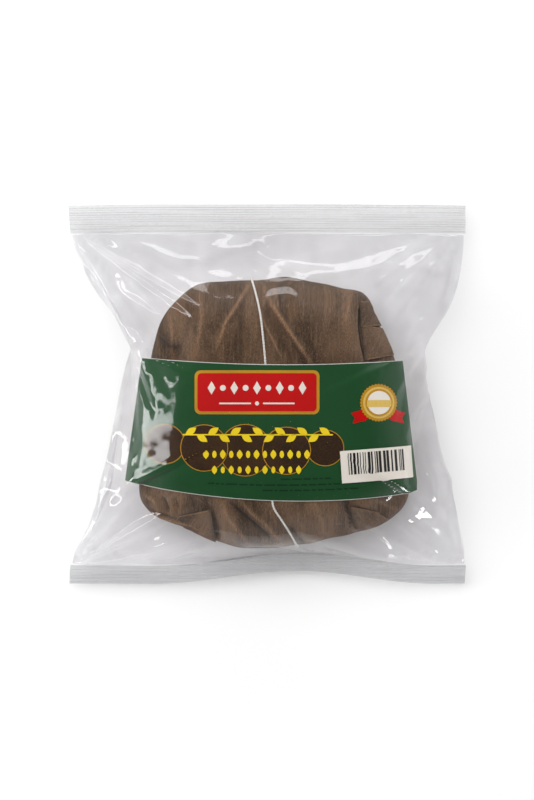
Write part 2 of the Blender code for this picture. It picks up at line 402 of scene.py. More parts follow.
@dataclass(frozen=True)
class SealFinish:
    """Film pressed together: more clouded than the free film, with fine dots in its ribs and painted
    shade in the grooves between them.
    """

    tint: Colour = (0.965, 0.964, 0.968)
    head_on: float = 0.05
    rise: float = 3.5
    most: float = 0.7
    roughness: float = 0.16
    haze: Point = (0.05, 0.24)
    # haze_colour greys the cloudiness, the dots and the painted shade in the grooves.
    haze_colour: Colour = (0.46, 0.46, 0.475)
    streak_stretch: Triple = (22.0, 900.0, 22.0)
    streak_span: Point = (0.3, 0.65)
    dot_scale: float = 1500.0
    dot_span: Point = (0.55, 0.2)
    dot_share: float = 0.35
    dot_depth: float = 0.00003

    def material(self, name: str) -> bpy.types.Material:
        """Return the seals' material, greyer in the grooves that the groove attribute tells: painted
        shade between the ribs.
        """
        sketch = NodeSketch(name)
        dots = sketch.node("TexVoronoi", Vector=sketch.coordinates(),
                           Scale=self.dot_scale).outputs["Distance"]
        streak = sketch.noise(sketch.coordinates(self.streak_stretch), 1.0, detail=2.0)
        normal = sketch.bump(dots, self.dot_depth)
        groove = sketch.attribute("groove").outputs["Fac"]
        # The groove lines are painted shade in the troughs between the ribs, broken by streaks.
        lines = sketch.math("MULTIPLY", groove, sketch.ramp(streak, *self.streak_span))
        grain = sketch.math("MULTIPLY", sketch.ramp(dots, *self.dot_span), self.dot_share)
        share = sketch.math("MAXIMUM", lines, grain)
        haze = sketch.math("MULTIPLY", share, self.haze[1] - self.haze[0])
        haze = sketch.math("ADD", haze, self.haze[0])
        mirror = sketch.mirror_share(normal, self.head_on, self.rise, self.most)
        return sketch.finish(sketch.see_through(
            (*self.tint, 1.0), haze, self.haze_colour, self.roughness, normal, mirror))


@dataclass(frozen=True)
class LeafFinish:
    """Dried brown leaf: dull, finely grained along its fibres, worn orange on its folds, with
    painted shade in its valleys, gutters and tucked roots.
    """

    dark: Colour = (0.042, 0.023, 0.012)
    middle: Colour = (0.134, 0.078, 0.044)
    light: Colour = (0.250, 0.162, 0.101)
    warm: Colour = (0.205, 0.108, 0.050)
    worn: Colour = (0.38, 0.22, 0.12)
    # Colour of the painted shade in fold valleys, step gutters and tucked flap roots; the grain's
    # pits use it too.
    slit_shade: Colour = (0.020, 0.014, 0.011)
    roughness: float = 0.75
    specular: float = 0.3
    fibre_depth: float = 0.00012
    fine_stretch: Triple = (2.6, 1.1, 1.0)
    streak_stretch: Triple = (0.9, 0.16, 1.0)
    broad_stretch: Triple = (0.06, 0.035, 1.0)
    warm_stretch: Triple = (0.13, 0.055, 7.0)
    streak_share: float = 0.3
    warm_share: float = 0.4
    speck_share: float = 0.55
    pit_share: float = 0.65
    fine_relief: float = 0.6
    streak_relief: float = 0.8

    def material(self, name: str) -> bpy.types.Material:
        """Return the leaf's material, whose grain follows the fibre attribute."""
        sketch = NodeSketch(name)
        grain = sketch.attribute("fibre").outputs["Vector"]
        fine = sketch.noise(sketch.scaled(grain, self.fine_stretch), 1.0, detail=5.0, roughness=0.75)
        streak = sketch.noise(sketch.scaled(grain, self.streak_stretch), 1.0, roughness=0.6)
        broad = sketch.noise(sketch.scaled(grain, self.broad_stretch), 1.0, detail=3.0,
                             roughness=0.5, distortion=0.5)
        warmth = sketch.noise(sketch.scaled(grain, self.warm_stretch), 1.0, detail=3.0)
        ridge = sketch.attribute("ridge").outputs["Fac"]
        slit_shade = sketch.attribute("slit_shade").outputs["Fac"]
        streaky = sketch.math("MULTIPLY", sketch.ramp(streak, 0.45, 0.7), self.streak_share)
        warmer = sketch.math("MULTIPLY", sketch.ramp(warmth, 0.5, 0.72), self.warm_share)
        speckled = sketch.math("MULTIPLY", sketch.ramp(fine, 0.5, 0.7), self.speck_share)
        pitted = sketch.math("MULTIPLY", sketch.ramp(fine, 0.49, 0.34), self.pit_share)
        rubbed = sketch.math("MULTIPLY", ridge, sketch.ramp(fine, 0.25, 0.7))
        colour = sketch.blend(sketch.ramp(broad, 0.35, 0.65), self.dark, self.middle)
        colour = sketch.blend(streaky, colour, self.light)
        colour = sketch.blend(warmer, colour, self.warm)
        colour = sketch.blend(speckled, colour, self.light)
        colour = sketch.blend(pitted, colour, self.slit_shade)
        colour = sketch.blend(rubbed, colour, self.worn)
        # Painted shade in fold valleys, step gutters and under tucked flap roots.
        colour = sketch.blend(slit_shade, colour, self.slit_shade)
        relief = sketch.math("ADD", sketch.math("MULTIPLY", fine, self.fine_relief),
                             sketch.math("MULTIPLY", streak, self.streak_relief))
        normal = sketch.bump(relief, self.fibre_depth)
        shader = sketch.node("BsdfPrincipled", Base_Color=colour, Roughness=self.roughness,
                             Specular_IOR_Level=self.specular, Normal=normal)
        return sketch.finish(shader.outputs[0])


@dataclass(frozen=True)
class StringFinish:
    """White cotton, a little fuzzy and grey in its twist."""

    light: Colour = (0.88, 0.865, 0.83)
    dark: Colour = (0.55, 0.53, 0.48)
    fuzz_scale: float = 2600.0
    fuzz_depth: float = 0.0001
    roughness: float = 0.9

    def material(self, name: str) -> bpy.types.Material:
        """Return the string's material."""
        sketch = NodeSketch(name)
        fuzz = sketch.noise(sketch.coordinates(), self.fuzz_scale, detail=3.0, roughness=0.7)
        colour = sketch.blend(sketch.ramp(fuzz, 0.35, 0.65), self.dark, self.light)
        normal = sketch.bump(fuzz, self.fuzz_depth)
        shader = sketch.node("BsdfPrincipled", Base_Color=colour, Roughness=self.roughness,
                             Normal=normal)
        return sketch.finish(shader.outputs[0])


@dataclass(frozen=True)
class InkFinish:
    """One ink of the label: printed half-gloss paper with a faint tooth."""

    colour: Colour
    shade: Colour
    speck_scale: float = 900.0
    patch_scale: float = 35.0
    roughness: float = 0.42
    specular: float = 0.15
    speck_share: float = 0.25
    tooth_depth: float = 0.00002

    def material(self, name: str) -> bpy.types.Material:
        """Return the ink's material."""
        sketch = NodeSketch(name)
        place = sketch.coordinates()
        specks = sketch.noise(place, self.speck_scale, detail=3.0, roughness=0.7)
        patches = sketch.noise(place, self.patch_scale, detail=2.0)
        share = sketch.math("MULTIPLY", sketch.ramp(specks, 0.4, 0.75), self.speck_share)
        colour = sketch.blend(sketch.ramp(patches, 0.3, 0.7), self.colour,
                              tuple(0.5 * (a + b) for a, b in zip(self.colour, self.shade)))
        colour = sketch.blend(share, colour, self.shade)
        normal = sketch.bump(specks, self.tooth_depth)
        shader = sketch.node("BsdfPrincipled", Base_Color=colour, Roughness=self.roughness,
                             Specular_IOR_Level=self.specular, Normal=normal)
        return sketch.finish(shader.outputs[0])


class Ink(Enum):
    """The inks of the label, from the paper up."""

    PAPER = InkFinish((0.74, 0.73, 0.70), (0.60, 0.59, 0.56), roughness=0.7)
    GREEN = InkFinish((0.012, 0.066, 0.020), (0.009, 0.052, 0.016), roughness=0.38)
    RED = InkFinish((0.52, 0.003, 0.003), (0.42, 0.002, 0.002), roughness=0.36)
    GOLD = InkFinish((0.52, 0.27, 0.018), (0.34, 0.16, 0.010), roughness=0.36)
    PALE_GOLD = InkFinish((0.72, 0.50, 0.12), (0.50, 0.30, 0.04), roughness=0.34)
    YELLOW = InkFinish((0.86, 0.66, 0.02), (0.70, 0.47, 0.01), roughness=0.4)
    CREAM = InkFinish((0.80, 0.755, 0.68), (0.72, 0.66, 0.58), roughness=0.5)
    BROWN = InkFinish((0.022, 0.0115, 0.006), (0.075, 0.036, 0.013), roughness=0.45,
                      speck_scale=1500.0, speck_share=0.6)
    BLACK = InkFinish((0.012, 0.011, 0.010), (0.03, 0.03, 0.028), roughness=0.45)
    DEEP_GREEN = InkFinish((0.006, 0.030, 0.011), (0.004, 0.022, 0.008), roughness=0.4)


@dataclass(frozen=True)
class BlockForm:
    """The plain form of the wrapped block, which leaf, string, label and film all follow."""

    centre: Point = (4.0, -8.5)
    height: float = 48.0 * MM
    girth_height: float = 21.0 * MM
    crown_power: float = 3.4
    crown_roundness: float = 1.9
    base_flat: float = 0.74
    outline: tuple[Point, ...] = (
        (61.6, -8.0), (60.2, 8.0), (56.6, 20.0), (50.2, 34.0), (44.0, 45.4), (34.0, 48.6),
        (22.0, 50.8), (9.5, 53.4), (-6.0, 52.2), (-20.0, 51.6), (-32.7, 49.2), (-40.6, 43.2),
        (-48.0, 33.3),
        (-51.8, 22.0), (-54.4, 6.0), (-56.4, -14.0), (-57.6, -34.0), (-56.0, -49.6), (-48.0, -55.4),
        (-35.0, -61.0), (-25.0, -65.8), (-10.9, -69.0), (4.0, -69.0), (20.0, -67.0), (37.3, -63.0),
        (53.0, -57.6), (62.0, -50.0), (64.6, -42.0), (63.4, -26.0),
    )

    def reach(self, dx: np.ndarray, dy: np.ndarray) -> np.ndarray:
        """Return the block's radius in the direction of each offset from its centre."""
        across = np.array([point[0] - self.centre[0] for point in self.outline]) * MM
        up = np.array([point[1] - self.centre[1] for point in self.outline]) * MM
        angles = np.unwrap(np.arctan2(up, across))
        radii = np.hypot(across, up)
        turn = 2.0 * math.pi
        angles = np.concatenate([angles[-2:] - turn, angles, angles[:3] + turn])
        radii = np.concatenate([radii[-2:], radii, radii[:3]])
        asked = np.arctan2(dy, dx)
        asked = np.where(asked < angles[2], asked + turn, asked)
        return hermite(angles, radii, np.gradient(radii, angles), asked)

    def crown(self, share: np.ndarray) -> np.ndarray:
        """Return the height of the upper surface at a share of the block's radius."""
        fall = np.clip(1.0 - np.clip(share, 0.0, 1.0) ** self.crown_power, 0.0, 1.0)
        rise = self.height - self.girth_height
        return self.girth_height + rise * fall ** (1.0 / self.crown_roundness)

    def base(self, share: np.ndarray) -> np.ndarray:
        """Return the height of the lower surface at a share of the block's radius."""
        bend = np.clip((share - self.base_flat) / (1.0 - self.base_flat), 0.0, 1.0)
        return self.girth_height * (1.0 - np.sqrt(np.clip(1.0 - bend * bend, 0.0, 1.0)))

    def offsets(self, x: np.ndarray, y: np.ndarray) -> tuple[np.ndarray, np.ndarray]:
        """Return each place's offset from the block's centre."""
        return x - self.centre[0] * MM, y - self.centre[1] * MM

    def place(self, dx: np.ndarray, dy: np.ndarray) -> tuple[np.ndarray, np.ndarray]:
        """Return x and y at offsets from the block's centre."""
        return self.centre[0] * MM + dx, self.centre[1] * MM + dy


@dataclass(frozen=True)
class LabelForm:
    """The paper band's outline seen from above, in millimetres, and how it lies."""

    top_left: Point = (-56.1, 16.7)
    top_right: Point = (60.9, 15.5)
    bottom_right: Point = (68.0, -43.3)
    bottom_left: Point = (-63.8, -38.5)
    top_dip: float = 2.7
    bottom_dip: float = 5.9
    end_share: float = 0.985
    fade: float = 3.0 * MM
    depth: float = 0.8 * MM
    facing_from: float = 0.6
    facing_span: float = 0.2
    probe: float = 0.15 * MM

    def place(self, across: np.ndarray, down: np.ndarray) -> tuple[np.ndarray, np.ndarray]:
        """Return x and y at a share across the band and a share down it."""
        left_x = self.top_left[0] + (self.bottom_left[0] - self.top_left[0]) * down
        right_x = self.top_right[0] + (self.bottom_right[0] - self.top_right[0]) * down
        top_y = self.top_left[1] + (self.top_right[1] - self.top_left[1]) * across
        low_y = self.bottom_left[1] + (self.bottom_right[1] - self.bottom_left[1]) * across
        bow = 4.0 * across * (1.0 - across)
        dip = self.top_dip + (self.bottom_dip - self.top_dip) * down
        x = left_x + (right_x - left_x) * across
        y = top_y + (low_y - top_y) * down - dip * bow
        return x * MM, y * MM

    def reach(self, block: BlockForm, dx: np.ndarray, dy: np.ndarray) -> np.ndarray:
        """Return the radius of block and band together in the direction of each offset.

        Args:
            block: The block that the band lies on.
            dx: Offsets along X from the block's centre.
            dy: Offsets along Y from the block's centre.

        Returns:
            The block's radius, or further out where the band's ends stand off the block.
        """
        plain = block.reach(dx, dy)
        rim_y = plain * dy / np.maximum(np.hypot(dx, dy), 1e-9) + block.centre[1] * MM
        top = np.where(dx < 0.0, self.top_left[1], self.top_right[1]) * MM
        low = np.where(dx < 0.0, self.bottom_left[1], self.bottom_right[1]) * MM
        down = np.clip((top - rim_y) / (top - low), 0.0, 1.0)
        left = self.top_left[0] + (self.bottom_left[0] - self.top_left[0]) * down
        right = self.top_right[0] + (self.bottom_right[0] - self.top_right[0]) * down
        end_x = np.where(dx < 0.0, left, right) * MM - block.centre[0] * MM
        wanted = np.abs(end_x) / self.end_share * np.hypot(dx, dy) / np.maximum(np.abs(dx), 1e-9)
        inside = smooth_step((top + self.fade - rim_y) / self.fade)
        inside = inside * smooth_step((rim_y - low + self.fade) / self.fade)
        sideways = np.abs(dx) / np.maximum(np.hypot(dx, dy), 1e-9)
        facing = smooth_step((sideways - self.facing_from) / self.facing_span)
        return plain + np.maximum(wanted - plain, 0.0) * inside * facing

    def share(self, block: BlockForm, x: np.ndarray, y: np.ndarray) -> np.ndarray:
        """Return how far out places lie, as a share of the reach of block and band."""
        dx, dy = block.offsets(x, y)
        return np.hypot(dx, dy) / self.reach(block, dx, dy)

    def height(self, block: BlockForm, x: np.ndarray, y: np.ndarray) -> np.ndarray:
        """Return the height of the band's paper above each place."""
        return block.crown(self.share(block, x, y)) - self.depth

    def lay(self, block: BlockForm, x: np.ndarray, y: np.ndarray, rise: float) -> np.ndarray:
        """Return places on the band that stand off its paper by a rise, as x, y and z."""
        step = self.probe
        lean_x = self.height(block, x + step, y) - self.height(block, x - step, y)
        lean_y = self.height(block, x, y + step) - self.height(block, x, y - step)
        normal = np.stack([-lean_x, -lean_y, np.full(x.shape, 2.0 * step)], 1)
        normal = normal / np.linalg.norm(normal, axis=1)[:, None]
        return np.stack([x, y, self.height(block, x, y)], 1) + rise * normal


@dataclass(frozen=True)
class Fold:
    """One fold of the leaf.

    path runs in millimetres as seen from above. A step is raised to the left of its
    path. height and width are in millimetres, and worn and dark are shares from 0 to 1:
    worn is the fold's wear, and dark is painted shade in a valley or a step's gutter.
    gutter and lip are the offset and the width of a step's line of painted shade and its
    worn line, and with step_ramp and line_reach they are in millimetres too.
    """

    kind: FoldKind
    path: tuple[Point, ...]
    height: float
    width: float
    worn: float = 0.0
    dark: float = 0.0
    step_ramp: float = 0.7
    gutter: Point = (-0.45, 0.55)
    lip: Point = (0.35, 0.45)
    line_reach: float = 3.0
    core_share: float = 0.45

    def distances(self, x: np.ndarray, y: np.ndarray) -> tuple[np.ndarray, np.ndarray, np.ndarray]:
        """Measure places against the path.

        Args:
            x: Places along X, in metres.
            y: Places along Y, in metres.

        Returns:
            The distance to the path in millimetres, the signed distance, positive to its
            left, and the share of the path's length at the nearest point.
        """
        nearest = np.full(x.shape, 1e9)
        signed = np.zeros(x.shape)
        share = np.zeros(x.shape)
        runs = [math.dist(a, b) for a, b in zip(self.path, self.path[1:])]
        walked = 0.0
        for (start, end), run in zip(zip(self.path, self.path[1:]), runs):
            way_x = (end[0] - start[0]) / run
            way_y = (end[1] - start[1]) / run
            from_x = x / MM - start[0]
            from_y = y / MM - start[1]
            along = np.clip(from_x * way_x + from_y * way_y, 0.0, run)
            off_x = from_x - along * way_x
            off_y = from_y - along * way_y
            distance = np.hypot(off_x, off_y)
            closer = distance < nearest
            side = np.sign(way_x * from_y - way_y * from_x)
            nearest = np.where(closer, distance, nearest)
            signed = np.where(closer, distance * side, signed)
            share = np.where(closer, (walked + along) / sum(runs), share)
            walked += run
        return nearest, signed, share

    def relief(self, x: np.ndarray, y: np.ndarray) -> tuple[np.ndarray, np.ndarray, np.ndarray]:
        """Return the height added in metres, the wear and the painted shade at each place."""
        distance, signed, share = self.distances(x, y)
        fade = np.clip(4.0 * share, 0.0, 1.0) * np.clip(4.0 * (1.0 - share), 0.0, 1.0)
        fade = smooth_step(0.25 + 0.75 * fade)
        if self.kind is FoldKind.STEP:
            raised = smooth_step(signed / self.step_ramp + 0.5)
            raised = raised * np.exp(-np.maximum(signed, 0.0) / (3.0 * self.width))
            added = self.height * raised * np.where(distance < 8.0 * self.width, 1.0, 0.0)
            near = distance < self.line_reach
            # A step's gutter gets painted shade; its lip gets wear.
            gutter = np.exp(-(((signed - self.gutter[0]) / self.gutter[1]) ** 2)) * near
            lip = np.exp(-(((signed - self.lip[0]) / self.lip[1]) ** 2)) * near
            return added * fade * MM, self.worn * fade * lip, self.dark * fade * gutter
        turn = 1.0 if self.kind is FoldKind.RIDGE else -1.0
        bell = np.exp(-((distance / self.width) ** 2))
        # A ridge or valley carries its wear and painted shade along its core.
        core = np.exp(-((distance / (self.core_share * self.width)) ** 2)) * fade
        return turn * self.height * bell * fade * MM, self.worn * core, self.dark * core


RIDGE = FoldKind.RIDGE
VALLEY = FoldKind.VALLEY
STEP = FoldKind.STEP


@dataclass
class LeafWrap:
    """The block in its dried leaf: one wrap over the whole cake and loose flaps on it."""

    block: BlockForm
    segments: int = 400
    rings: int = 220
    upper_share: float = 0.75
    sink: float = 1.7 * MM
    room: float = 0.7 * MM
    bare_room: float = 1.5 * MM
    bare_gain: float = 1.6
    bare_fade: float = 4.0 * MM
    band_span: Point = (-45.0 * MM, 16.0 * MM)
    side_sink: float = 0.5 * MM
    side_relief: float = 0.35
    base_relief: float = 0.6
    girth_fade: float = 6.0 * MM
    ripple: float = 0.28 * MM
    waves: int = 14
    wave_span_x: Point = (60.0, 420.0)
    wave_most_y: float = 110.0
    wave_most_z: float = 160.0
    seed: int = 11
    folds: tuple[Fold, ...] = (
        Fold(RIDGE, ((-6.5, 51.5), (-12.0, 42.0), (-18.4, 31.7), (-23.0, 18.0)), 0.7, 1.5,
             worn=0.9),
        Fold(RIDGE, ((-17.0, 33.0), (-21.0, 24.0), (-20.0, 12.0)), 0.8, 5.5, worn=0.35),
        Fold(VALLEY, ((-9.5, 47.0), (-12.0, 36.0), (-11.0, 16.0)), 0.6, 3.2, dark=0.25),
        Fold(RIDGE, ((0.2, 46.0), (2.2, 40.0), (7.4, 31.7), (14.0, 22.0), (19.5, 14.0)), 1.0, 1.9,
             worn=0.9),
        Fold(VALLEY, ((-2.0, 46.0), (0.5, 36.0), (7.0, 22.0), (12.0, 14.0)), 0.8, 2.4, dark=0.35),
        Fold(RIDGE, ((-4.6, 44.0), (-1.9, 32.8), (2.2, 25.0), (7.0, 15.0)), 0.35, 0.9, worn=0.65),
        Fold(RIDGE, ((-2.0, 50.5), (-1.2, 46.0), (-1.6, 38.0)), 0.5, 0.9, worn=0.8),
        Fold(RIDGE, ((3.4, 49.5), (4.2, 44.0), (5.0, 38.0)), 0.5, 0.9, worn=0.7),
        Fold(STEP, ((5.2, 39.0), (5.0, 44.0), (6.4, 47.4), (10.4, 49.6), (15.0, 52.6)), -1.4, 1.6,
             worn=0.2, dark=0.9),
        Fold(RIDGE, ((37.6, 47.0), (36.2, 40.0), (34.3, 31.0)), 0.6, 1.4, worn=0.5),
        Fold(VALLEY, ((33.4, 47.6), (33.2, 42.0), (31.0, 36.0)), 0.5, 1.3, dark=0.35),
        Fold(STEP, ((43.2, 13.0), (41.0, 22.0), (40.0, 29.7), (40.2, 37.4), (43.6, 44.6)), 1.9, 2.2,
             worn=0.3, dark=1.0),
        Fold(RIDGE, ((-44.0, 38.0), (-42.0, 28.0), (-43.0, 18.0)), 0.6, 1.6, worn=0.4),
        Fold(VALLEY, ((-38.0, 44.0), (-35.0, 33.0), (-37.0, 20.0)), 0.5, 2.4, dark=0.3),
        Fold(RIDGE, ((-30.0, 49.0), (-29.0, 34.0), (-31.0, 18.0)), 0.4, 2.2, worn=0.45),
        Fold(VALLEY, ((-50.0, 27.0), (-44.0, 22.0), (-38.0, 20.5)), 0.8, 1.8, dark=0.7),
        Fold(STEP, ((-22.2, -67.0), (-22.0, -59.2), (-24.6, -50.8), (-31.0, -45.6)), -2.0, 2.4,
             worn=0.7, dark=0.55),
        Fold(VALLEY, ((-17.5, -46.0), (-12.0, -52.0), (-4.5, -59.0), (4.0, -68.0)), 1.9, 1.9,
             dark=0.85),
        Fold(RIDGE, ((-12.6, -46.0), (-7.0, -52.0), (0.4, -58.4), (8.0, -67.0)), 0.9, 2.0,
             worn=0.55),
        Fold(RIDGE, ((-20.0, -47.0), (-17.6, -54.0), (-11.0, -62.0), (-7.0, -68.0)), 0.7, 2.0,
             worn=0.5),
        Fold(VALLEY, ((9.6, -58.0), (12.6, -63.0), (16.2, -68.0)), 1.6, 1.5, dark=0.9),
        Fold(RIDGE, ((0.0, -46.0), (4.0, -52.0), (10.0, -60.0)), 0.5, 1.6, worn=0.3),
        Fold(STEP, ((34.6, -44.5), (35.2, -49.6), (37.4, -55.0), (37.9, -60.4)), -1.5, 2.0,
             worn=0.2, dark=1.0),
        Fold(STEP, ((57.0, -58.0), (50.0, -54.6), (43.6, -51.6), (37.0, -49.4)), -1.3, 1.8,
             worn=0.55, dark=0.7),
        Fold(RIDGE, ((46.0, -45.0), (53.0, -49.0), (60.0, -52.0)), 0.9, 1.6, worn=0.5, dark=0.2),
        Fold(VALLEY, ((-46.4, -45.0), (-45.2, -49.0), (-44.2, -53.4)), 1.2, 0.9, dark=0.95),
        Fold(VALLEY, ((-41.4, -44.8), (-40.2, -48.0), (-39.6, -51.4)), 0.9, 0.8, dark=0.6),
        Fold(VALLEY, ((-34.0, -44.6), (-33.2, -47.2), (-32.6, -50.4)), 0.9, 1.0, dark=0.8),
        Fold(RIDGE, ((-43.0, -45.4), (-42.2, -50.0), (-42.6, -55.0)), 0.6, 0.9, worn=0.5),
        Fold(RIDGE, ((-55.4, -44.0), (-50.0, -47.0), (-48.0, -53.0)), 0.7, 1.2, worn=0.6),
        Fold(STEP, ((-24.0, -64.0), (-33.0, -57.4), (-42.0, -55.6), (-55.0, -50.6)), 1.4, 2.0,
             worn=0.7, dark=0.6),
        Fold(RIDGE, ((20.0, -46.0), (24.0, -55.0), (26.0, -65.0)), 0.5, 2.6, worn=0.3),
        Fold(VALLEY, ((28.0, -46.0), (30.0, -55.0), (31.0, -64.0)), 0.4, 2.2, dark=0.2),
    )

    def relief(self, x: np.ndarray, y: np.ndarray) -> tuple[np.ndarray, np.ndarray, np.ndarray]:
        """Return the height added by all folds, with their wear and their painted shade."""
        height = np.zeros(x.shape)
        worn = np.zeros(x.shape)
        dark = np.zeros(x.shape)
        for fold in self.folds:
            more, wear, shade = fold.relief(x, y)
            height = height + more
            worn = np.maximum(worn, wear)
            dark = np.maximum(dark, shade)
        return height, worn, dark

    def ripples(self, x: np.ndarray, y: np.ndarray, z: np.ndarray) -> np.ndarray:
        """Return soft waves of the leaf, long along its grain, as a sum of seeded sines."""
        draw = np.random.default_rng(self.seed)
        total = np.zeros(x.shape)
        for _ in range(self.waves):
            wave_x = draw.uniform(*self.wave_span_x) * draw.choice([-1.0, 1.0])
            wave_y = draw.uniform(-self.wave_most_y, self.wave_most_y)
            wave_z = draw.uniform(-self.wave_most_z, self.wave_most_z)
            phase = draw.uniform(0.0, 2.0 * math.pi)
            total = total + np.sin(wave_x * x + wave_y * y + wave_z * z + phase)
        return self.ripple * total / math.sqrt(self.waves)

    def build(self, finish: bpy.types.Material) -> bpy.types.Object:
        """Build the wrap as one closed body with its folds in the mesh.

        Args:
            finish: The leaf's material.

        Returns:
            The finished piece.
        """
        bpy.ops.object.select_all(action="DESELECT")
        bpy.ops.mesh.primitive_uv_sphere_add(segments=self.segments, ring_count=self.rings,
                                             radius=1.0)
        piece = bpy.context.object
        piece.name = "leaf_wrap"
        ball = read_points(piece.data)
        turned = np.arccos(np.clip(ball[:, 2], -1.0, 1.0)) / math.pi
        upper = turned <= self.upper_share
        share = np.where(upper, turned / self.upper_share,
                         (1.0 - turned) / (1.0 - self.upper_share))
        share = np.sin(0.5 * math.pi * share)
        angle = np.arctan2(ball[:, 1], ball[:, 0])
        reach = self.block.reach(np.cos(angle), np.sin(angle)) - self.side_sink
        x, y = self.block.place(reach * share * np.cos(angle), reach * share * np.sin(angle))
        crown = self.block.crown(share) - self.sink
        base = self.block.base(share) + self.side_sink
        level = self.block.girth_height
        z = np.where(upper, np.maximum(crown, level), np.minimum(base, level))
        added, worn, dark = self.relief(x, y)
        facing = smooth_step((z - level) / self.girth_fade)
        tilt = np.clip(share, 0.0, 1.0) ** 6
        wave = self.ripples(x, y, z)
        bare = smooth_step((y - self.band_span[1]) / self.bare_fade)
        bare = bare + smooth_step((self.band_span[0] - y) / self.bare_fade)
        added = added * (self.side_relief + (1.0 - self.side_relief) * facing)
        added = added * (1.0 + (self.bare_gain - 1.0) * bare)
        room = self.room + (self.bare_room - self.room) * bare
        push = np.minimum(added * upper + wave, room)
        x = x + push * tilt * np.cos(angle)
        y = y + push * tilt * np.sin(angle)
        z = z + push * (1.0 - tilt) * np.where(upper, 1.0, -self.base_relief)
        write_points(piece.data, np.stack([x, y, z], 1))
        grain = np.stack([x / MM, (y + np.abs(z - level) * np.sign(y)) / MM, z * 0.0], 1)
        write_vector_attribute(piece.data, "fibre", grain)
        write_attribute(piece.data, "ridge", worn * upper)
        # Painted shade of the folds' valleys and gutters, on the upper side only.
        write_attribute(piece.data, "slit_shade", dark * upper)
        piece.data.materials.append(finish)
        shade_smooth(piece, math.radians(80.0))
        hand_over(piece)
        return piece


@dataclass(frozen=True)
class FlapForm:
    """A loose flap of leaf: four corners seen from above, in millimetres, and its lift.

    The corners run round the flap: the first two end the edge that is tucked in.
    """

    name: str
    corners: tuple[Point, Point, Point, Point]
    lift: float
    curl: float
    grain_turn: float = 0.0


@dataclass
class LeafFlaps:
    """The loose flaps that lie on the wrap and show their cut edges."""

    block: BlockForm
    wrap: LeafWrap
    thickness: float = 0.45 * MM
    columns: int = 28
    rows: int = 28
    wander: float = 1.0 / 28.0
    wave: float = 0.18 * MM
    rim_share: float = 0.992
    border: float = 0.1
    root_fade: float = 0.12
    # Share of worn colour on a flap's cut border and of painted shade at its tucked root.
    shade: float = 0.55
    flaps: tuple[FlapForm, ...] = (
        FlapForm("leaf_flap_upper_right", ((41.2, 41.6), (41.4, 29.8), (51.2, 31.2), (45.8, 41.8)),
                 0.8, 0.3, 0.5),
        FlapForm("leaf_flap_lower_right", ((41.6, 31.0), (43.2, 15.2), (56.8, 17.8), (53.0, 29.6)),
                 0.3, 0.3, 0.35),
        FlapForm("leaf_flap_low_right",
                 ((36.4, -49.4), (40.4, -61.4), (55.6, -57.4), (50.0, -52.4)), 0.4, 0.4, -0.5),
        FlapForm("leaf_flap_low_left",
                 ((-24.8, -51.0), (-23.0, -66.0), (-37.0, -60.2), (-40.0, -54.4)), 0.0, 0.5, 0.5),
    )

    def build(self, finish: bpy.types.Material) -> list[bpy.types.Object]:
        """Build each flap as a thin wavy sheet on the wrap.

        Args:
            finish: The leaf's material.

        Returns:
            The finished pieces.
        """
        return [self.build_flap(form, finish) for form in self.flaps]

    def build_flap(self, form: FlapForm, finish: bpy.types.Material) -> bpy.types.Object:
        """Build one flap."""
        piece = add_grid(form.name, self.columns, self.rows)
        flat = read_points(piece.data)
        out = 0.5 * (flat[:, 0] + 1.0)
        side = 0.5 * (flat[:, 1] + 1.0)
        a, b, c, d = [np.array(corner) for corner in form.corners]
        root = a[None, :] * (1.0 - side[:, None]) + b[None, :] * side[:, None]
        edge = d[None, :] * (1.0 - side[:, None]) + c[None, :] * side[:, None]
        spot = root * (1.0 - out[:, None]) + edge * out[:, None]
        ragged = np.sin(7.0 * side + form.lift * 9.0)
        ragged = ragged + 0.6 * np.sin(17.0 * side + form.grain_turn * 8.0)
        spot = spot + (edge - root) * self.wander * ragged[:, None] * out[:, None] ** 4
        dx, dy = self.block.offsets(spot[:, 0] * MM, spot[:, 1] * MM)
        reach = self.block.reach(dx, dy)
        share = np.clip(np.hypot(dx, dy) / reach, 0.0, self.rim_share)
        lift = (form.lift + form.curl * out**3) * MM
        z = self.block.crown(share) - self.wrap.sink + lift
        z = z + self.wave * np.sin(9.0 * out + 5.0 * side)
        shrink = share * reach / np.maximum(np.hypot(dx, dy), 1e-9)
        x, y = self.block.place(dx * shrink, dy * shrink)
        write_points(piece.data, np.stack([x, y, z], 1))
        turn = form.grain_turn
        grain_x = (x * math.cos(turn) - y * math.sin(turn)) / MM
        grain_y = (x * math.sin(turn) + y * math.cos(turn)) / MM
        write_vector_attribute(piece.data, "fibre", np.stack([grain_x, grain_y, z * 0.0], 1))
        outmost = np.maximum(np.abs(flat[:, 0]), np.abs(flat[:, 1]))
        border = np.maximum(outmost - (1.0 - self.border), 0.0) / self.border
        write_attribute(piece.data, "ridge", self.shade * border * (out > self.border))
        # Painted shade where the flap's root tucks under the wrap.
        write_attribute(piece.data, "slit_shade", self.shade * smooth_step(1.0 - out / self.root_fade))
        thicken(piece, self.thickness)
        face_outwards(piece)
        piece.data.materials.append(finish)
        shade_smooth(piece, math.radians(60.0))
        hand_over(piece)
        return piece


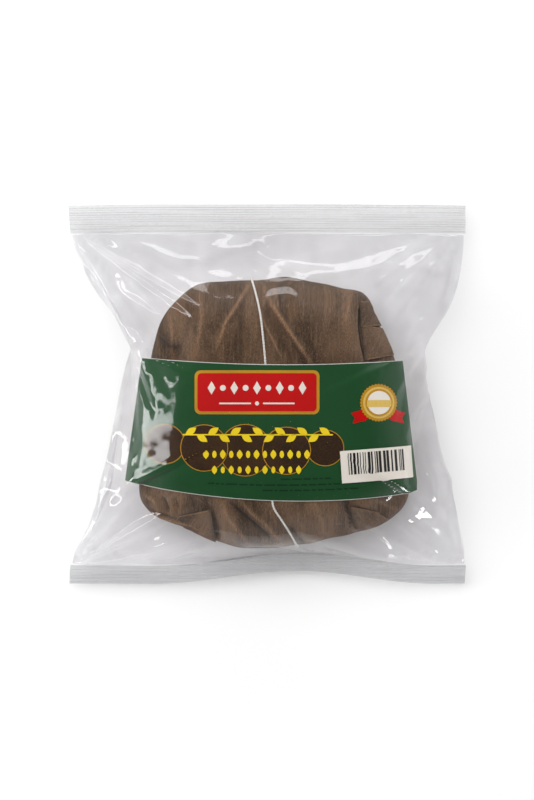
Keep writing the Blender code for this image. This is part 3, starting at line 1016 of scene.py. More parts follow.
@dataclass
class TieString:
    """Two plies of cotton twisted together, tied round the block over and under it."""

    block: BlockForm
    ply_radius: float = 0.30 * MM
    twist_radius: float = 0.24 * MM
    pitch: float = 2.6 * MM
    steps_a_turn: int = 8
    lie: float = 1.0 * MM
    base_lie: float = 0.4 * MM
    band_dip: float = 0.8 * MM
    band_ends: Point = (-46.5, 13.5)
    band_ramp: float = 3.0
    route: tuple[Point, ...] = (
        (13.8, -68.4), (10.4, -62.0), (6.4, -55.4), (3.0, -50.0), (2.2, -46.0), (1.0, -30.0),
        (0.0, 0.0), (-0.7, 13.8), (-1.6, 24.0), (-3.2, 37.0), (-5.2, 46.0), (-7.0, 52.4),
    )

    def loop(self) -> np.ndarray:
        """Return the string's centre line, over the block and back under it."""
        low, high = self.route[0][1] * MM, self.route[-1][1] * MM
        turn = np.linspace(0.0, math.pi, 400)
        y = 0.5 * (low + high) - 0.5 * (high - low) * np.cos(turn)
        x = through_points(self.route, y)
        dx, dy = self.block.offsets(x, y)
        share = np.clip(np.hypot(dx, dy) / self.block.reach(dx, dy), 0.0, 1.0)
        under_band = smooth_step((y / MM - self.band_ends[0]) / self.band_ramp + 0.5)
        under_band = under_band * smooth_step((self.band_ends[1] - y / MM) / self.band_ramp + 0.5)
        over = np.stack([x, y, self.block.crown(share) - self.lie - self.band_dip * under_band], 1)
        under = np.stack([x, y, self.block.base(share) + self.base_lie], 1)[::-1]
        line = np.concatenate([over, under])
        gaps = np.linalg.norm(np.diff(line, axis=0, append=line[:1]), axis=1)
        return line[gaps > 1e-7]

    def build(self, finish: bpy.types.Material) -> bpy.types.Object:
        """Build the string as a mesh.

        Args:
            finish: The string's material.

        Returns:
            The finished piece.
        """
        line = self.loop()
        gaps = np.linalg.norm(np.diff(line, axis=0, append=line[:1]), axis=1)
        walked = np.concatenate([[0.0], np.cumsum(gaps)])
        turns = round(walked[-1] / self.pitch)
        closed = np.concatenate([line, line[:1]])
        at = np.linspace(0.0, walked[-1], turns * self.steps_a_turn, endpoint=False)
        centre = np.stack([np.interp(at, walked, closed[:, axis]) for axis in range(3)], 1)
        ahead = np.roll(centre, -1, axis=0) - np.roll(centre, 1, axis=0)
        ahead = ahead / np.linalg.norm(ahead, axis=1)[:, None]
        across = np.cross(ahead, np.array([1.0, 0.0, 0.0]))
        across = across / np.linalg.norm(across, axis=1)[:, None]
        other = np.cross(ahead, across)
        spin = 2.0 * math.pi * turns * at / walked[-1]
        plies = []
        for number in range(2):
            phase = spin + math.pi * number
            swing = np.cos(phase)[:, None] * across + np.sin(phase)[:, None] * other
            plies.append(self.tube(f"string_ply_{number}", centre + self.twist_radius * swing))
        piece = join_pieces(plies, "tie_string")
        piece.data.materials.clear()
        piece.data.materials.append(finish)
        shade_smooth(piece, math.radians(80.0))
        hand_over(piece)
        return piece

    def tube(self, name: str, points: np.ndarray) -> bpy.types.Object:
        """Return one ply as a closed ring of tube through points."""
        curve = bpy.data.curves.new(name, "CURVE")
        curve.dimensions = "3D"
        curve.bevel_depth = self.ply_radius
        curve.bevel_resolution = 1
        spline = curve.splines.new("POLY")
        spline.points.add(len(points) - 1)
        weighted = np.concatenate([points, np.ones((len(points), 1))], 1)
        spline.points.foreach_set("co", weighted.ravel())
        spline.use_cyclic_u = True
        ply = bpy.data.objects.new(name, curve)
        bpy.context.scene.collection.objects.link(ply)
        select_only(ply)
        bpy.ops.object.convert(target="MESH")
        return bpy.context.object


@dataclass
class PaperBand:
    """The printed paper band over the block, with its print as thin fields of colour."""

    block: BlockForm
    form: LabelForm
    columns: int = 150
    rows: int = 64
    thickness: float = 0.10 * MM
    print_step: float = 0.1 * MM
    ink_margin: float = 0.0022
    margin_aspect: float = 2.2
    end_crowding: float = 0.85
    cut: float = 0.8 * MM
    corner_radius: float = 2.4 * MM
    corner_pull: float = 0.29
    seed: int = 5
    made: list[bpy.types.Object] = field(default_factory=list)

    def build(self) -> list[bpy.types.Object]:
        """Build the paper, its green ground and every printed field.

        Returns:
            The finished pieces.
        """
        inks = {ink: ink.value.material(f"ink_{ink.name.lower()}") for ink in Ink}
        self.build_sheet("label_paper", 0.0, 0.0, inks[Ink.PAPER])
        self.build_sheet("label_green", self.ink_margin, self.print_step, inks[Ink.GREEN])
        self.build_plate(inks)
        self.build_cakes(inks)
        self.build_marks(inks)
        self.build_seal(inks)
        self.build_code_panel(inks)
        for piece in self.made:
            hand_over(piece)
        return self.made

    def build_sheet(self, name: str, margin: float, rise: float,
                    finish: bpy.types.Material) -> None:
        """Build one layer of the band, with its lower right corner rounded.

        Args:
            name: The piece's name.
            margin: How far the layer stays inside the paper's edge, as a share.
            rise: How far it lies above the paper's upper face.
            finish: Its material.
        """
        piece = add_grid(name, self.columns, self.rows)
        flat = read_points(piece.data)
        across = 0.5 * (flat[:, 0] + 1.0)
        across = across + self.end_crowding * (0.5 * (1.0 - np.cos(math.pi * across)) - across)
        down = 0.5 * (1.0 - flat[:, 1])
        across = margin + (1.0 - 2.0 * margin) * across
        margin = self.margin_aspect * margin
        down = margin + (1.0 - 2.0 * margin) * down
        width = (self.form.bottom_right[0] - self.form.bottom_left[0]) * MM
        depth = (self.form.top_right[1] - self.form.bottom_right[1]) * MM
        to_side = (1.0 - across) * width
        to_end = (1.0 - down) * depth
        near = np.clip(1.0 - np.hypot(to_side, to_end) / (2.0 * self.corner_radius), 0.0, 1.0)
        across = across - self.corner_pull * self.corner_radius / width * near
        down = down - self.corner_pull * self.corner_radius / depth * near
        x, y = self.form.place(across, down)
        write_points(piece.data, self.form.lay(self.block, x, y, rise))
        if rise == 0.0:
            thicken(piece, self.thickness, offset=-1.0)
        piece.data.materials.append(finish)
        shade_smooth(piece, math.radians(80.0))
        self.made.append(piece)

    def field(self, outline: list[Point]) -> bpy.types.Object:
        """Return a flat face of this outline, cut into a net fine enough to bend.

        Args:
            outline: The outline seen from above, in millimetres.

        Returns:
            The field as a flat object in metres.
        """
        bpy.ops.object.select_all(action="DESELECT")
        bpy.ops.mesh.primitive_circle_add(vertices=len(outline), radius=1.0, fill_type="NGON")
        piece = bpy.context.object
        points = np.array([(x * MM, y * MM, 0.0) for x, y in outline])
        write_points(piece.data, points)
        bpy.ops.object.mode_set(mode="EDIT")
        for axis in (0, 1):
            low = points[:, axis].min()
            high = points[:, axis].max()
            count = max(1, math.ceil((high - low) / self.cut))
            for place in np.linspace(low, high, count + 1)[1:-1]:
                spot = [0.0, 0.0, 0.0]
                way = [0.0, 0.0, 0.0]
                spot[axis] = place
                way[axis] = 1.0
                bpy.ops.mesh.select_all(action="SELECT")
                bpy.ops.mesh.bisect(plane_co=spot, plane_no=way)
        bpy.ops.object.mode_set(mode="OBJECT")
        return piece

    def lay_down(self, pieces: list[bpy.types.Object], name: str, level: int,
                 finish: bpy.types.Material) -> None:
        """Join flat fields, lay them on the band's surface and give them their ink.

        Args:
            pieces: The flat fields.
            name: The joined piece's name.
            level: How many print steps it lies above the green ground.
            finish: Its material.
        """
        piece = join_pieces(pieces, name)
        flat = read_points(piece.data)
        rise = self.print_step * (1.0 + level)
        write_points(piece.data, self.form.lay(self.block, flat[:, 0], flat[:, 1], rise))
        piece.data.materials.clear()
        piece.data.materials.append(finish)
        shade_smooth(piece, math.radians(80.0))
        self.made.append(piece)

    @staticmethod
    def rounded_box(centre: Point, size: Point, radius: float, turn: float = 0.0) -> list[Point]:
        """Return the outline of a rectangle with round corners, turned by an angle."""
        points = []
        for quarter, (side_x, side_y) in enumerate(((1, 1), (-1, 1), (-1, -1), (1, -1))):
            for step in range(6):
                angle = 0.5 * math.pi * (quarter + step / 5.0)
                x = side_x * (0.5 * size[0] - radius) + radius * math.cos(angle)
                y = side_y * (0.5 * size[1] - radius) + radius * math.sin(angle)
                spun_x = x * math.cos(turn) - y * math.sin(turn)
                spun_y = x * math.sin(turn) + y * math.cos(turn)
                points.append((centre[0] + spun_x, centre[1] + spun_y))
        return points

    @staticmethod
    def ring(centre: Point, size: Point, count: int = 40, scallop: float = 0.0,
             scallops: int = 0) -> list[Point]:
        """Return an ellipse's outline, with scallops if asked for."""
        points = []
        for step in range(count):
            angle = 2.0 * math.pi * step / count
            grow = 1.0 + scallop * math.cos(scallops * angle)
            points.append((centre[0] + 0.5 * size[0] * grow * math.cos(angle),
                           centre[1] + 0.5 * size[1] * grow * math.sin(angle)))
        return points

    @staticmethod
    def leaf(centre: Point, size: Point, turn: float) -> list[Point]:
        """Return the outline of a pointed leaf, turned by an angle."""
        points = []
        for side in (1.0, -1.0):
            for step in range(8):
                share = step / 8.0
                x = side * size[0] * (0.5 - share)
                y = side * 0.5 * size[1] * math.sin(math.pi * share)
                spun_x = x * math.cos(turn) - y * math.sin(turn)
                spun_y = x * math.sin(turn) + y * math.cos(turn)
                points.append((centre[0] + spun_x, centre[1] + spun_y))
        return points

    def build_plate(self, inks: dict[Ink, bpy.types.Material]) -> None:
        """Print the red plate with its gold border and a plain ornament."""
        centre = (-4.4, 1.1)
        border = self.field(self.rounded_box(centre, (55.0, 19.4), 2.6))
        self.lay_down([border], "label_plate_border", 1, inks[Ink.GOLD])
        ground = self.field(self.rounded_box(centre, (52.4, 16.8), 1.7))
        self.lay_down([ground], "label_plate", 2, inks[Ink.RED])
        marks = []
        for step in range(-4, 5):
            spot = (centre[0] + 5.0 * step, centre[1] + 1.9)
            if step % 2:
                marks.append(self.field(self.ring(spot, (2.6, 2.6), 20)))
            else:
                marks.append(self.field([(spot[0], spot[1] + 2.9), (spot[0] - 1.7, spot[1]),
                                         (spot[0], spot[1] - 2.9), (spot[0] + 1.7, spot[1])]))
        for side in (-1.0, 1.0):
            spot = (centre[0] + side * 9.6, centre[1] - 4.9)
            marks.append(self.field(self.rounded_box(spot, (14.0, 0.7), 0.3)))
        marks.append(self.field(self.ring((centre[0], centre[1] - 4.9), (1.8, 1.8), 16)))
        self.lay_down(marks, "label_plate_ornament", 3, inks[Ink.CREAM])

    def build_cakes(self, inks: dict[Ink, bpy.types.Material]) -> None:
        """Print a plain row of round brown cakes with thin gold rims."""
        spots = ((-45.0, -21.8), (-27.6, -23.4), (-9.6, -24.4), (8.6, -24.6), (25.6, -23.4))
        sizes = ((17.4, 17.0), (20.4, 20.0), (22.4, 22.4), (20.8, 20.4), (16.0, 15.4))
        for number, (spot, size) in enumerate(zip(spots, sizes)):
            rim = self.field(self.ring(spot, (size[0] + 0.7, size[1] + 0.7)))
            self.lay_down([rim], f"label_cake_rim_{number}", 1 + number % 2 * 2, inks[Ink.GOLD])
            cake = self.field(self.ring(spot, size))
            self.lay_down([cake], f"label_cake_{number}", 2 + number % 2 * 2, inks[Ink.BROWN])

    def build_marks(self, inks: dict[Ink, bpy.types.Material]) -> None:
        """Print rows of plain yellow marks and the thin dark lines below them."""
        draw = np.random.default_rng(self.seed)
        yellow = [self.field(self.rounded_box((-4.0, -17.6), (66.0, 0.6), 0.3))]
        for step in range(-6, 7):
            side = (-1) ** step
            spot = (-4.0 + 4.9 * step, -17.6 + 1.5 * side)
            turn = side * (0.6 if step < 0 else 2.54)
            yellow.append(self.field(self.leaf(spot, (5.8, 2.9), turn)))
        for count, height, size in ((13, -26.2, 3.2), (11, -33.0, 3.0)):
            for step in range(count):
                spot = (-4.6 + 3.7 * (step - 0.5 * (count - 1)), height)
                mark = self.ring(spot, (0.6 * size, size), 18)
                if step % 2 == 0:
                    mark = self.leaf(spot, (1.3 * size, 0.8 * size), 0.5 * math.pi)
                yellow.append(self.field(mark))
        self.lay_down(yellow, "label_yellow_marks", 6, inks[Ink.YELLOW])
        dark = []
        lines = ((-37.2, 6.0, 27.0), (-39.8, -26.0, 58.0), (-42.2, -2.0, 38.0))
        for height, start, end in lines:
            at = start
            while at < end:
                wide = float(draw.uniform(1.2, 5.0))
                bow = 0.0009 * (at - 4.0) ** 2
                spot = (at + 0.5 * wide, height + bow)
                dark.append(self.field(self.rounded_box(spot, (wide, 0.55), 0.2)))
                at += wide + 0.8
        self.lay_down(dark, "label_fine_lines", 1, inks[Ink.DEEP_GREEN])

    def build_seal(self, inks: dict[Ink, bpy.types.Material]) -> None:
        """Print a plain gold rosette with two red ribbon tails."""
        centre = (49.3, -3.5)
        tails = []
        for side in (-1.0, 1.0):
            x, y = centre
            tails.append(self.field([
                (x + side * 2.0, y - 5.0), (x + side * 7.4, y - 3.0), (x + side * 12.4, y - 4.6),
                (x + side * 10.6, y - 6.6), (x + side * 11.6, y - 9.2), (x + side * 6.0, y - 8.0),
            ][:: int(side)]))
        self.lay_down(tails, "label_ribbons", 1, inks[Ink.RED])
        burst = self.field(self.ring(centre, (16.4, 16.4), 144, 0.035, 36))
        self.lay_down([burst], "label_seal_burst", 2, inks[Ink.GOLD])
        ring = self.field(self.ring(centre, (14.0, 14.0)))
        self.lay_down([ring], "label_seal_ring", 3, inks[Ink.PALE_GOLD])
        groove = self.field(self.ring(centre, (12.2, 12.2)))
        self.lay_down([groove], "label_seal_groove", 4, inks[Ink.GOLD])
        middle = self.field(self.ring(centre, (10.4, 10.4)))
        self.lay_down([middle], "label_seal_middle", 5, inks[Ink.CREAM])
        band = self.field(self.rounded_box((centre[0], centre[1] - 0.4), (10.8, 3.0), 0.4))
        self.lay_down([band], "label_seal_band", 6, inks[Ink.PALE_GOLD])

    def build_code_panel(self, inks: dict[Ink, bpy.types.Material]) -> None:
        """Print a pale panel with a made-up row of dark bars."""
        turn = math.radians(4.0)
        centre = (48.4, -30.8)
        panel = self.field(self.rounded_box(centre, (31.8, 14.2), 0.2, turn))
        self.lay_down([panel], "label_code_panel", 5, inks[Ink.CREAM])
        draw = np.random.default_rng(self.seed + 1)
        bars = []
        at = -12.6
        while at < 12.9:
            wide = float(draw.choice([0.35, 0.35, 0.7, 1.1]))
            spot_x = at + 0.5 * wide
            spot_y = 1.2
            spun = (centre[0] + spot_x * math.cos(turn) - spot_y * math.sin(turn),
                    centre[1] + spot_x * math.sin(turn) + spot_y * math.cos(turn))
            bars.append(self.field(self.rounded_box(spun, (wide, 9.4), 0.05, turn)))
            at += wide + float(draw.choice([0.35, 0.6, 0.9]))
        self.lay_down(bars, "label_code_bars", 6, inks[Ink.BLACK])


@dataclass
class FilmBag:
    """The clear bag: two sheets of film drawn over block and band, and its outline."""

    block: BlockForm
    label: LabelForm
    width: float = 180.0 * MM
    length: float = 171.6 * MM
    top_seal_depth: float = 12.6 * MM
    bottom_seal_spread: float = 8.7 * MM
    arch_rise: float = 6.0 * MM
    arch_centre: float = 0.14
    arch_half_width: float = 0.72
    slack_across: float = 0.02
    slack_along: float = 0.02
    seal_middle_height: float = 18.0 * MM
    seal_corner_height: float = 11.0 * MM
    waist_height: float = 22.0 * MM
    seal_wave: float = 0.9 * MM
    seal_waves_across: float = 2.5
    columns: int = 92
    rows: int = 84
    big: float = 10.0
    grow_frames: int = 24
    all_frames: int = 36
    start_height: float = 20.0 * MM
    start_gap: float = 0.6 * MM
    start_bulge: float = 1.6 * MM
    unevenness: float = 0.15 * MM
    side_hold: float = 0.65
    seed: int = 4
    creases: int = 7
    crease_pitch: Point = (18.0 * MM, 46.0 * MM)
    crease_slope: float = 0.06
    corner_folds: float = 5.0
    corner_slope: float = 0.035
    corner_reach: float = 38.0 * MM
    crease_bow: float = 0.18
    crease_wander: float = 45.0
    sheet_shift: float = 0.41
    plain_grey: float = 0.45
    crown_clearance: float = 0.15 * MM
    floor_clearance: float = 0.25 * MM
    body_gap: float = 0.3 * MM
    body_shrink: float = 0.9
    body_thinness: float = 0.02
    skin: float = 0.002
    left_side: tuple[Point, ...] = (
        (90.0, -85.8), (88.6, -75.5), (77.8, -58.4), (69.0, -33.0), (65.8, -6.5), (62.2, 12.8),
        (57.0, 23.5), (60.0, 30.0), (70.6, 40.0), (81.5, 54.0), (88.4, 70.0), (90.0, 85.8),
    )
    right_side: tuple[Point, ...] = (
        (90.0, -85.8), (90.0, -64.0), (88.0, -46.3), (80.4, -28.0), (75.2, -6.5), (71.9, 12.0),
        (73.2, 18.0), (80.6, 29.0), (87.0, 42.0), (89.4, 58.6), (90.0, 85.8),
    )

    def free_ends(self, across: np.ndarray) -> tuple[np.ndarray, float]:
        """Return where the free film starts above the bottom seal and ends at the top one."""
        offset = np.clip((across - self.arch_centre) / self.arch_half_width, -1.0, 1.0)
        arch = self.arch_rise * np.cos(0.5 * math.pi * offset) ** 2
        bottom = -0.5 * self.length + self.bottom_seal_spread + arch
        return bottom, 0.5 * self.length - self.top_seal_depth

    def place(self, across: np.ndarray, along: np.ndarray) -> tuple[np.ndarray, np.ndarray]:
        """Return x and y of a place in the bag.

        Args:
            across: From -1 at the left side to 1 at the right side.
            along: From -1 to 1 over the free film, and by up to 1 more over each seal.

        Returns:
            x and y in metres.
        """
        bottom, top = self.free_ends(across)
        share = 0.5 * (np.clip(along, -1.0, 1.0) + 1.0)
        y = bottom + (top - bottom) * share
        y = y - np.clip(-1.0 - along, 0.0, 1.0) * self.bottom_seal_spread
        y = y + np.clip(along - 1.0, 0.0, 1.0) * self.top_seal_depth
        left = -through_points(self.left_side, y)
        right = through_points(self.right_side, y)
        return left + (right - left) * 0.5 * (across + 1.0), y

    def rim_height(self, across: np.ndarray, along: np.ndarray) -> np.ndarray:
        """Return the height of the line where the sheets meet."""
        corner = np.abs(across) ** 3
        fall = self.seal_corner_height - self.seal_middle_height
        seal = self.seal_middle_height + fall * corner
        wave = np.sin(self.seal_waves_across * math.pi * across) * np.sign(along)
        seal = seal + self.seal_wave * wave * (1.0 - corner)
        drop = self.seal_corner_height - self.waist_height
        side = self.waist_height + drop * np.clip(along, -1.0, 1.0) ** 2
        on_side = np.clip((np.abs(across) - np.abs(along)) * 8.0 + 0.5, 0.0, 1.0)
        return seal + (side - seal) * on_side

    def taut(self, across: np.ndarray, along: np.ndarray, sheet: Sheet) -> np.ndarray:
        """Return the height of a sheet drawn straight from the rim to the block."""
        x, y = self.place(across, along)
        dx, dy = self.block.offsets(x, y)
        centre_across = self.block.centre[0] * MM / (0.5 * self.width)
        bottom, top = self.free_ends(np.array(centre_across))
        centre_along = 2.0 * (self.block.centre[1] * MM - bottom) / (top - bottom) - 1.0
        go_x = across - centre_across
        go_x = go_x / np.where(go_x > 0.0, 1.0 - centre_across, 1.0 + centre_across)
        go_y = along - centre_along
        go_y = go_y / np.where(go_y > 0.0, 1.0 - centre_along, 1.0 + centre_along)
        outward = np.maximum(np.maximum(np.abs(go_x), np.abs(go_y)), 1e-6)
        rim_across = centre_across + (across - centre_across) / outward
        rim_along = centre_along + (along - centre_along) / outward
        rim_x, rim_y = self.place(rim_across, rim_along)
        rim = self.rim_height(rim_across, rim_along)
        rim_dx, rim_dy = self.block.offsets(rim_x, rim_y)
        rim_radius = np.hypot(rim_dx, rim_dy)
        radius = np.hypot(dx, dy)
        reach = self.label.reach(self.block, dx, dy)
        surface = self.block.crown if sheet is Sheet.FRONT else self.block.base
        shares = np.linspace(0.0, 1.0, 48)
        heights = surface(shares)
        steps = np.outer(reach, shares)
        slopes = sheet.value * (heights[None, :] - rim[:, None])
        slopes = slopes / np.maximum(rim_radius[:, None] - steps, 1e-6)
        touch = np.argmax(slopes, axis=1)
        touch_radius = steps[np.arange(len(touch)), touch]
        span = np.maximum(rim_radius - touch_radius, 1e-6)
        film = rim + (heights[touch] - rim) * np.clip((rim_radius - radius) / span, 0.0, 1.0)
        return np.where(radius < touch_radius, surface(np.clip(radius / reach, 0.0, 1.0)), film)

    def flat_tube(self) -> bpy.types.Object:
        """Return the bag as cut: two flat sheets, merged round the rim, ten times its size."""
        sheets = []
        for sheet in Sheet:
            piece = add_grid(f"film_{sheet.name.lower()}", self.columns, self.rows)
            flat = read_points(piece.data)
            u, v = flat[:, 0], flat[:, 1]
            rim = np.maximum(np.abs(u), np.abs(v)) > RIM_SHARE
            bulge = self.start_bulge * (1.0 - u**4) * (1.0 - v**4) + self.start_gap * ~rim
            width, length = self.cut_size(u, v, sheet)
            x = 0.5 * width * u
            y = 0.5 * length * v + self.middle_y()
            z = self.start_height + sheet.value * bulge
            write_points(piece.data, self.big * np.stack([x, y, z], 1))
            write_attribute(piece.data, "across", u)
            write_attribute(piece.data, "along", v)
            if sheet is Sheet.BACK:
                piece.data.flip_normals()
            sheets.append(piece)
        film = join_pieces(sheets, "film_bag")
        bpy.ops.object.mode_set(mode="EDIT")
        bpy.ops.mesh.select_all(action="SELECT")
        bpy.ops.mesh.remove_doubles(threshold=self.big * 0.05 * MM)
        bpy.ops.object.mode_set(mode="OBJECT")
        return film

    def cut_size(self, across: np.ndarray, along: np.ndarray,
                 sheet: Sheet) -> tuple[np.ndarray, np.ndarray]:
        """Return how wide and how long the film is cut: the taut way round the block, and slack.

        Args:
            across: From -1 to 1 across the bag.
            along: From -1 to 1 along the free film.
            sheet: Which of the sheets is asked for. Both are cut alike at their edges.

        Returns:
            The width and the length of the film at each place, in metres.
        """
        spread, levels = np.meshgrid(np.linspace(-1.0, 1.0, 121), np.linspace(-1.0, 1.0, 121))
        x, y = self.place(spread, levels)
        widths, lengths = {}, {}
        for layer in Sheet:
            z = self.taut(spread.ravel(), levels.ravel(), layer).reshape(spread.shape)
            rows = np.sum(np.hypot(np.diff(x, axis=1), np.diff(z, axis=1)), axis=1)
            columns = np.sum(np.hypot(np.diff(y, axis=0), np.diff(z, axis=0)), axis=0)
            widths[layer] = np.interp(along, levels[:, 0], rows)
            lengths[layer] = np.interp(across, spread[0], columns)
        width = self.joined(widths, sheet, across) * (1.0 + self.slack_across * (1.0 - along**2))
        length = self.joined(lengths, sheet, along) * (1.0 + self.slack_along)
        return width, length

    @staticmethod
    def joined(sizes: dict[Sheet, np.ndarray], sheet: Sheet, towards: np.ndarray) -> np.ndarray:
        """Return a sheet's size, blended into the mean of both sheets where they meet."""
        shared = 0.5 * (sizes[Sheet.FRONT] + sizes[Sheet.BACK])
        return shared + (sizes[sheet] - shared) * (1.0 - towards**6)

    def middle_y(self) -> float:
        """Return the middle of the free film's length."""
        bottom, top = self.free_ends(np.array(0.0))
        return 0.5 * (float(bottom) + top)

    def sheet_places(self, film: bpy.types.Object) -> tuple[np.ndarray, np.ndarray, np.ndarray]:
        """Return each vertex's place across and along the flat tube, and if it is in front."""
        places = []
        for name in ("across", "along"):
            values = np.empty(len(film.data.vertices), dtype=np.float32)
            film.data.attributes[name].data.foreach_get("value", values)
            places.append(np.clip(values.astype(float), -1.0, 1.0))
        front = read_points(film.data)[:, 2] / self.big >= self.start_height
        return places[0], places[1], front

    def shaped(self, film: bpy.types.Object) -> np.ndarray:
        """Return where the taut film runs, for the vertices of the flat tube, in metres."""
        u, v, front = self.sheet_places(film)
        rim = np.maximum(np.abs(u), np.abs(v)) > RIM_SHARE
        x, y = self.place(u, v)
        upper = self.taut(u, v, Sheet.FRONT)
        lower = self.taut(u, v, Sheet.BACK)
        sheets = np.where(front, np.maximum(upper, lower) + self.body_gap, lower)
        return np.stack([x, y, np.where(rim, self.rim_height(u, v), sheets)], 1)

    def collider(self) -> bpy.types.Object:
        """Return block and band as one body that grows from thin to full under the film."""
        bpy.ops.object.select_all(action="DESELECT")
        bpy.ops.mesh.primitive_uv_sphere_add(segments=120, ring_count=56, radius=1.0)
        body = bpy.context.object
        ball = read_points(body.data)
        share = np.clip(np.hypot(ball[:, 0], ball[:, 1]), 0.0, 1.0)
        angle = np.arctan2(ball[:, 1], ball[:, 0])
        reach = self.label.reach(self.block, np.cos(angle), np.sin(angle)) - self.body_gap
        height = np.where(ball[:, 2] >= 0.0, self.block.crown(share) - self.body_gap,
                          self.block.base(share) + self.body_gap)
        x, y = self.block.place(reach * share * np.cos(angle), reach * share * np.sin(angle))
        dx, dy = self.block.offsets(x, y)
        thin_x, thin_y = self.block.place(self.body_shrink * dx, self.body_shrink * dy)
        thin_z = self.start_height + self.body_thinness * (height - self.block.girth_height)
        write_points(body.data, self.big * np.stack([thin_x, thin_y, thin_z], 1))
        self.animate(body, self.big * np.stack([x, y, height], 1))
        body.modifiers.new("collision", "COLLISION")
        body.collision.thickness_outer = self.skin
        body.collision.cloth_friction = 1.0
        return body

    def animate(self, piece: bpy.types.Object, target: np.ndarray) -> None:
        """Move a piece's mesh to a target over the growing frames."""
        piece.shape_key_add(name="Basis")
        key = piece.shape_key_add(name="target")
        key.data.foreach_set("co", np.ascontiguousarray(target).ravel())
        key.value = 0.0
        key.keyframe_insert("value", frame=1)
        key.value = 1.0
        key.keyframe_insert("value", frame=self.grow_frames)

    def simulate(self, film: bpy.types.Object) -> np.ndarray:
        """Let the block grow inside the film and return where the film settles.

        Args:
            film: The flat tube, ten times its size.

        Returns:
            The film's vertices in metres.
        """
        flat = read_points(film.data) / self.big
        target = self.shaped(film)
        draw = np.random.default_rng(self.seed)
        u, v, front = self.sheet_places(film)
        on_seal = np.abs(v) > RIM_SHARE
        on_side = (np.abs(u) > RIM_SHARE) & ~on_seal
        uneven = flat.copy()
        uneven[:, 2] += np.where(front, 1.0, -1.0) * draw.normal(0.0, self.unevenness, len(flat))
        uneven[on_seal | on_side] = flat[on_seal | on_side]
        write_points(film.data, self.big * uneven)
        self.animate(film, self.big * target)
        pins = film.vertex_groups.new(name="held")
        pins.add(np.flatnonzero(on_seal).tolist(), 1.0, "REPLACE")
        pins.add(np.flatnonzero(on_side).tolist(), self.side_hold, "REPLACE")
        body = self.collider()
        bpy.ops.mesh.primitive_plane_add(size=60.0)
        ground = bpy.context.object
        ground.modifiers.new("collision", "COLLISION")
        ground.collision.thickness_outer = self.skin
        cloth = film.modifiers.new("cloth", "CLOTH")
        self.set_film(cloth)
        scene = bpy.context.scene
        for step in range(1, self.all_frames + 1):
            scene.frame_set(step)
        settled = film.evaluated_get(bpy.context.evaluated_depsgraph_get())
        points = read_points(settled.data) / self.big
        film.modifiers.remove(cloth)
        film.shape_key_clear()
        for helper in (body, ground):
            bpy.data.objects.remove(helper, do_unlink=True)
        scene.frame_set(1)
        return points

    def set_film(self, cloth: bpy.types.Modifier) -> None:
        """Set a cloth modifier to behave as thin crisp film."""
        settings = cloth.settings
        settings.quality = 8
        settings.mass = 0.05
        settings.tension_stiffness = 60.0
        settings.compression_stiffness = 60.0
        settings.shear_stiffness = 30.0
        settings.bending_stiffness = 4.0
        settings.tension_damping = 3.0
        settings.compression_damping = 3.0
        settings.shear_damping = 3.0
        settings.bending_damping = 0.5
        settings.air_damping = 1.0
        settings.vertex_group_mass = "held"
        settings.pin_stiffness = 2.0
        settings.effector_weights.gravity = 0.0
        cloth.collision_settings.distance_min = self.skin
        cloth.collision_settings.collision_quality = 3
        cloth.collision_settings.use_self_collision = False
        cloth.point_cache.frame_start = 1
        cloth.point_cache.frame_end = self.all_frames

    def crumple(self, points: np.ndarray, front: np.ndarray) -> tuple[np.ndarray, np.ndarray]:
        """Return how straight creases lift and shade the free film beside the block.

        Args:
            points: The film's vertices.
            front: Which of them are in the front sheet.

        Returns:
            The lift of each vertex in metres and its share of grey from 0 to 1: a plain
            grey with painted shade on the crease facets that lean one way. Both are
            nothing over and under the block.
        """
        draw = np.random.default_rng(self.seed + 1)
        lift = np.zeros(len(points))
        lean = np.zeros(len(points))
        for _ in range(self.creases):
            turn = draw.uniform(0.0, math.pi)
            pitch = draw.uniform(*self.crease_pitch)
            shift, bow = draw.uniform(0.0, 1.0, 2)
            along = points[:, 0] * math.cos(turn) + points[:, 1] * math.sin(turn)
            beside = points[:, 1] * math.cos(turn) - points[:, 0] * math.sin(turn)
            wave = self.crease_bow * np.sin(self.crease_wander * beside + 6.0 * bow)
            wave = wave + along / pitch + shift + self.sheet_shift * front
            lift += pitch * self.crease_slope * (np.abs(2.0 * (wave % 1.0) - 1.0) - 0.5)
            # lean tells which way each crease facet slopes; it paints shade on one side of every
            # crease.
            lean += np.clip(8.0 * (np.abs(2.0 * ((wave + 0.25) % 1.0) - 1.0) - 0.5), -1.0, 1.0)
        for side in (-1.0, 1.0):
            for end in (-1.0, 1.0):
                from_x = np.abs(points[:, 0] - 0.5 * side * self.width)
                from_y = np.abs(points[:, 1] - 0.5 * end * (self.length - self.top_seal_depth))
                far = np.hypot(from_x, from_y)
                near = 1.0 - smooth_step((far - self.corner_reach) / self.corner_reach)
                wave = self.corner_folds * np.arctan2(from_y, from_x) / (0.5 * math.pi)
                wave = wave + draw.uniform(0.0, 1.0) + self.sheet_shift * front
                lift += far * self.corner_slope * near * (np.abs(2.0 * (wave % 1.0) - 1.0) - 0.5)
                # The corner folds paint shade on alternate facets too.
                lean += 2.0 * near * np.clip(4.0 * np.sin(2.0 * math.pi * wave), -1.0, 1.0)
        share = self.label.share(self.block, points[:, 0], points[:, 1])
        free = smooth_step((share - 0.93) / 0.2)
        # The grey share is a plain grey with painted shade on the facets that lean one way.
        grey = np.clip(self.plain_grey + 0.5 * lean / math.sqrt(self.creases), 0.0, 1.0)
        return lift * free, grey * free

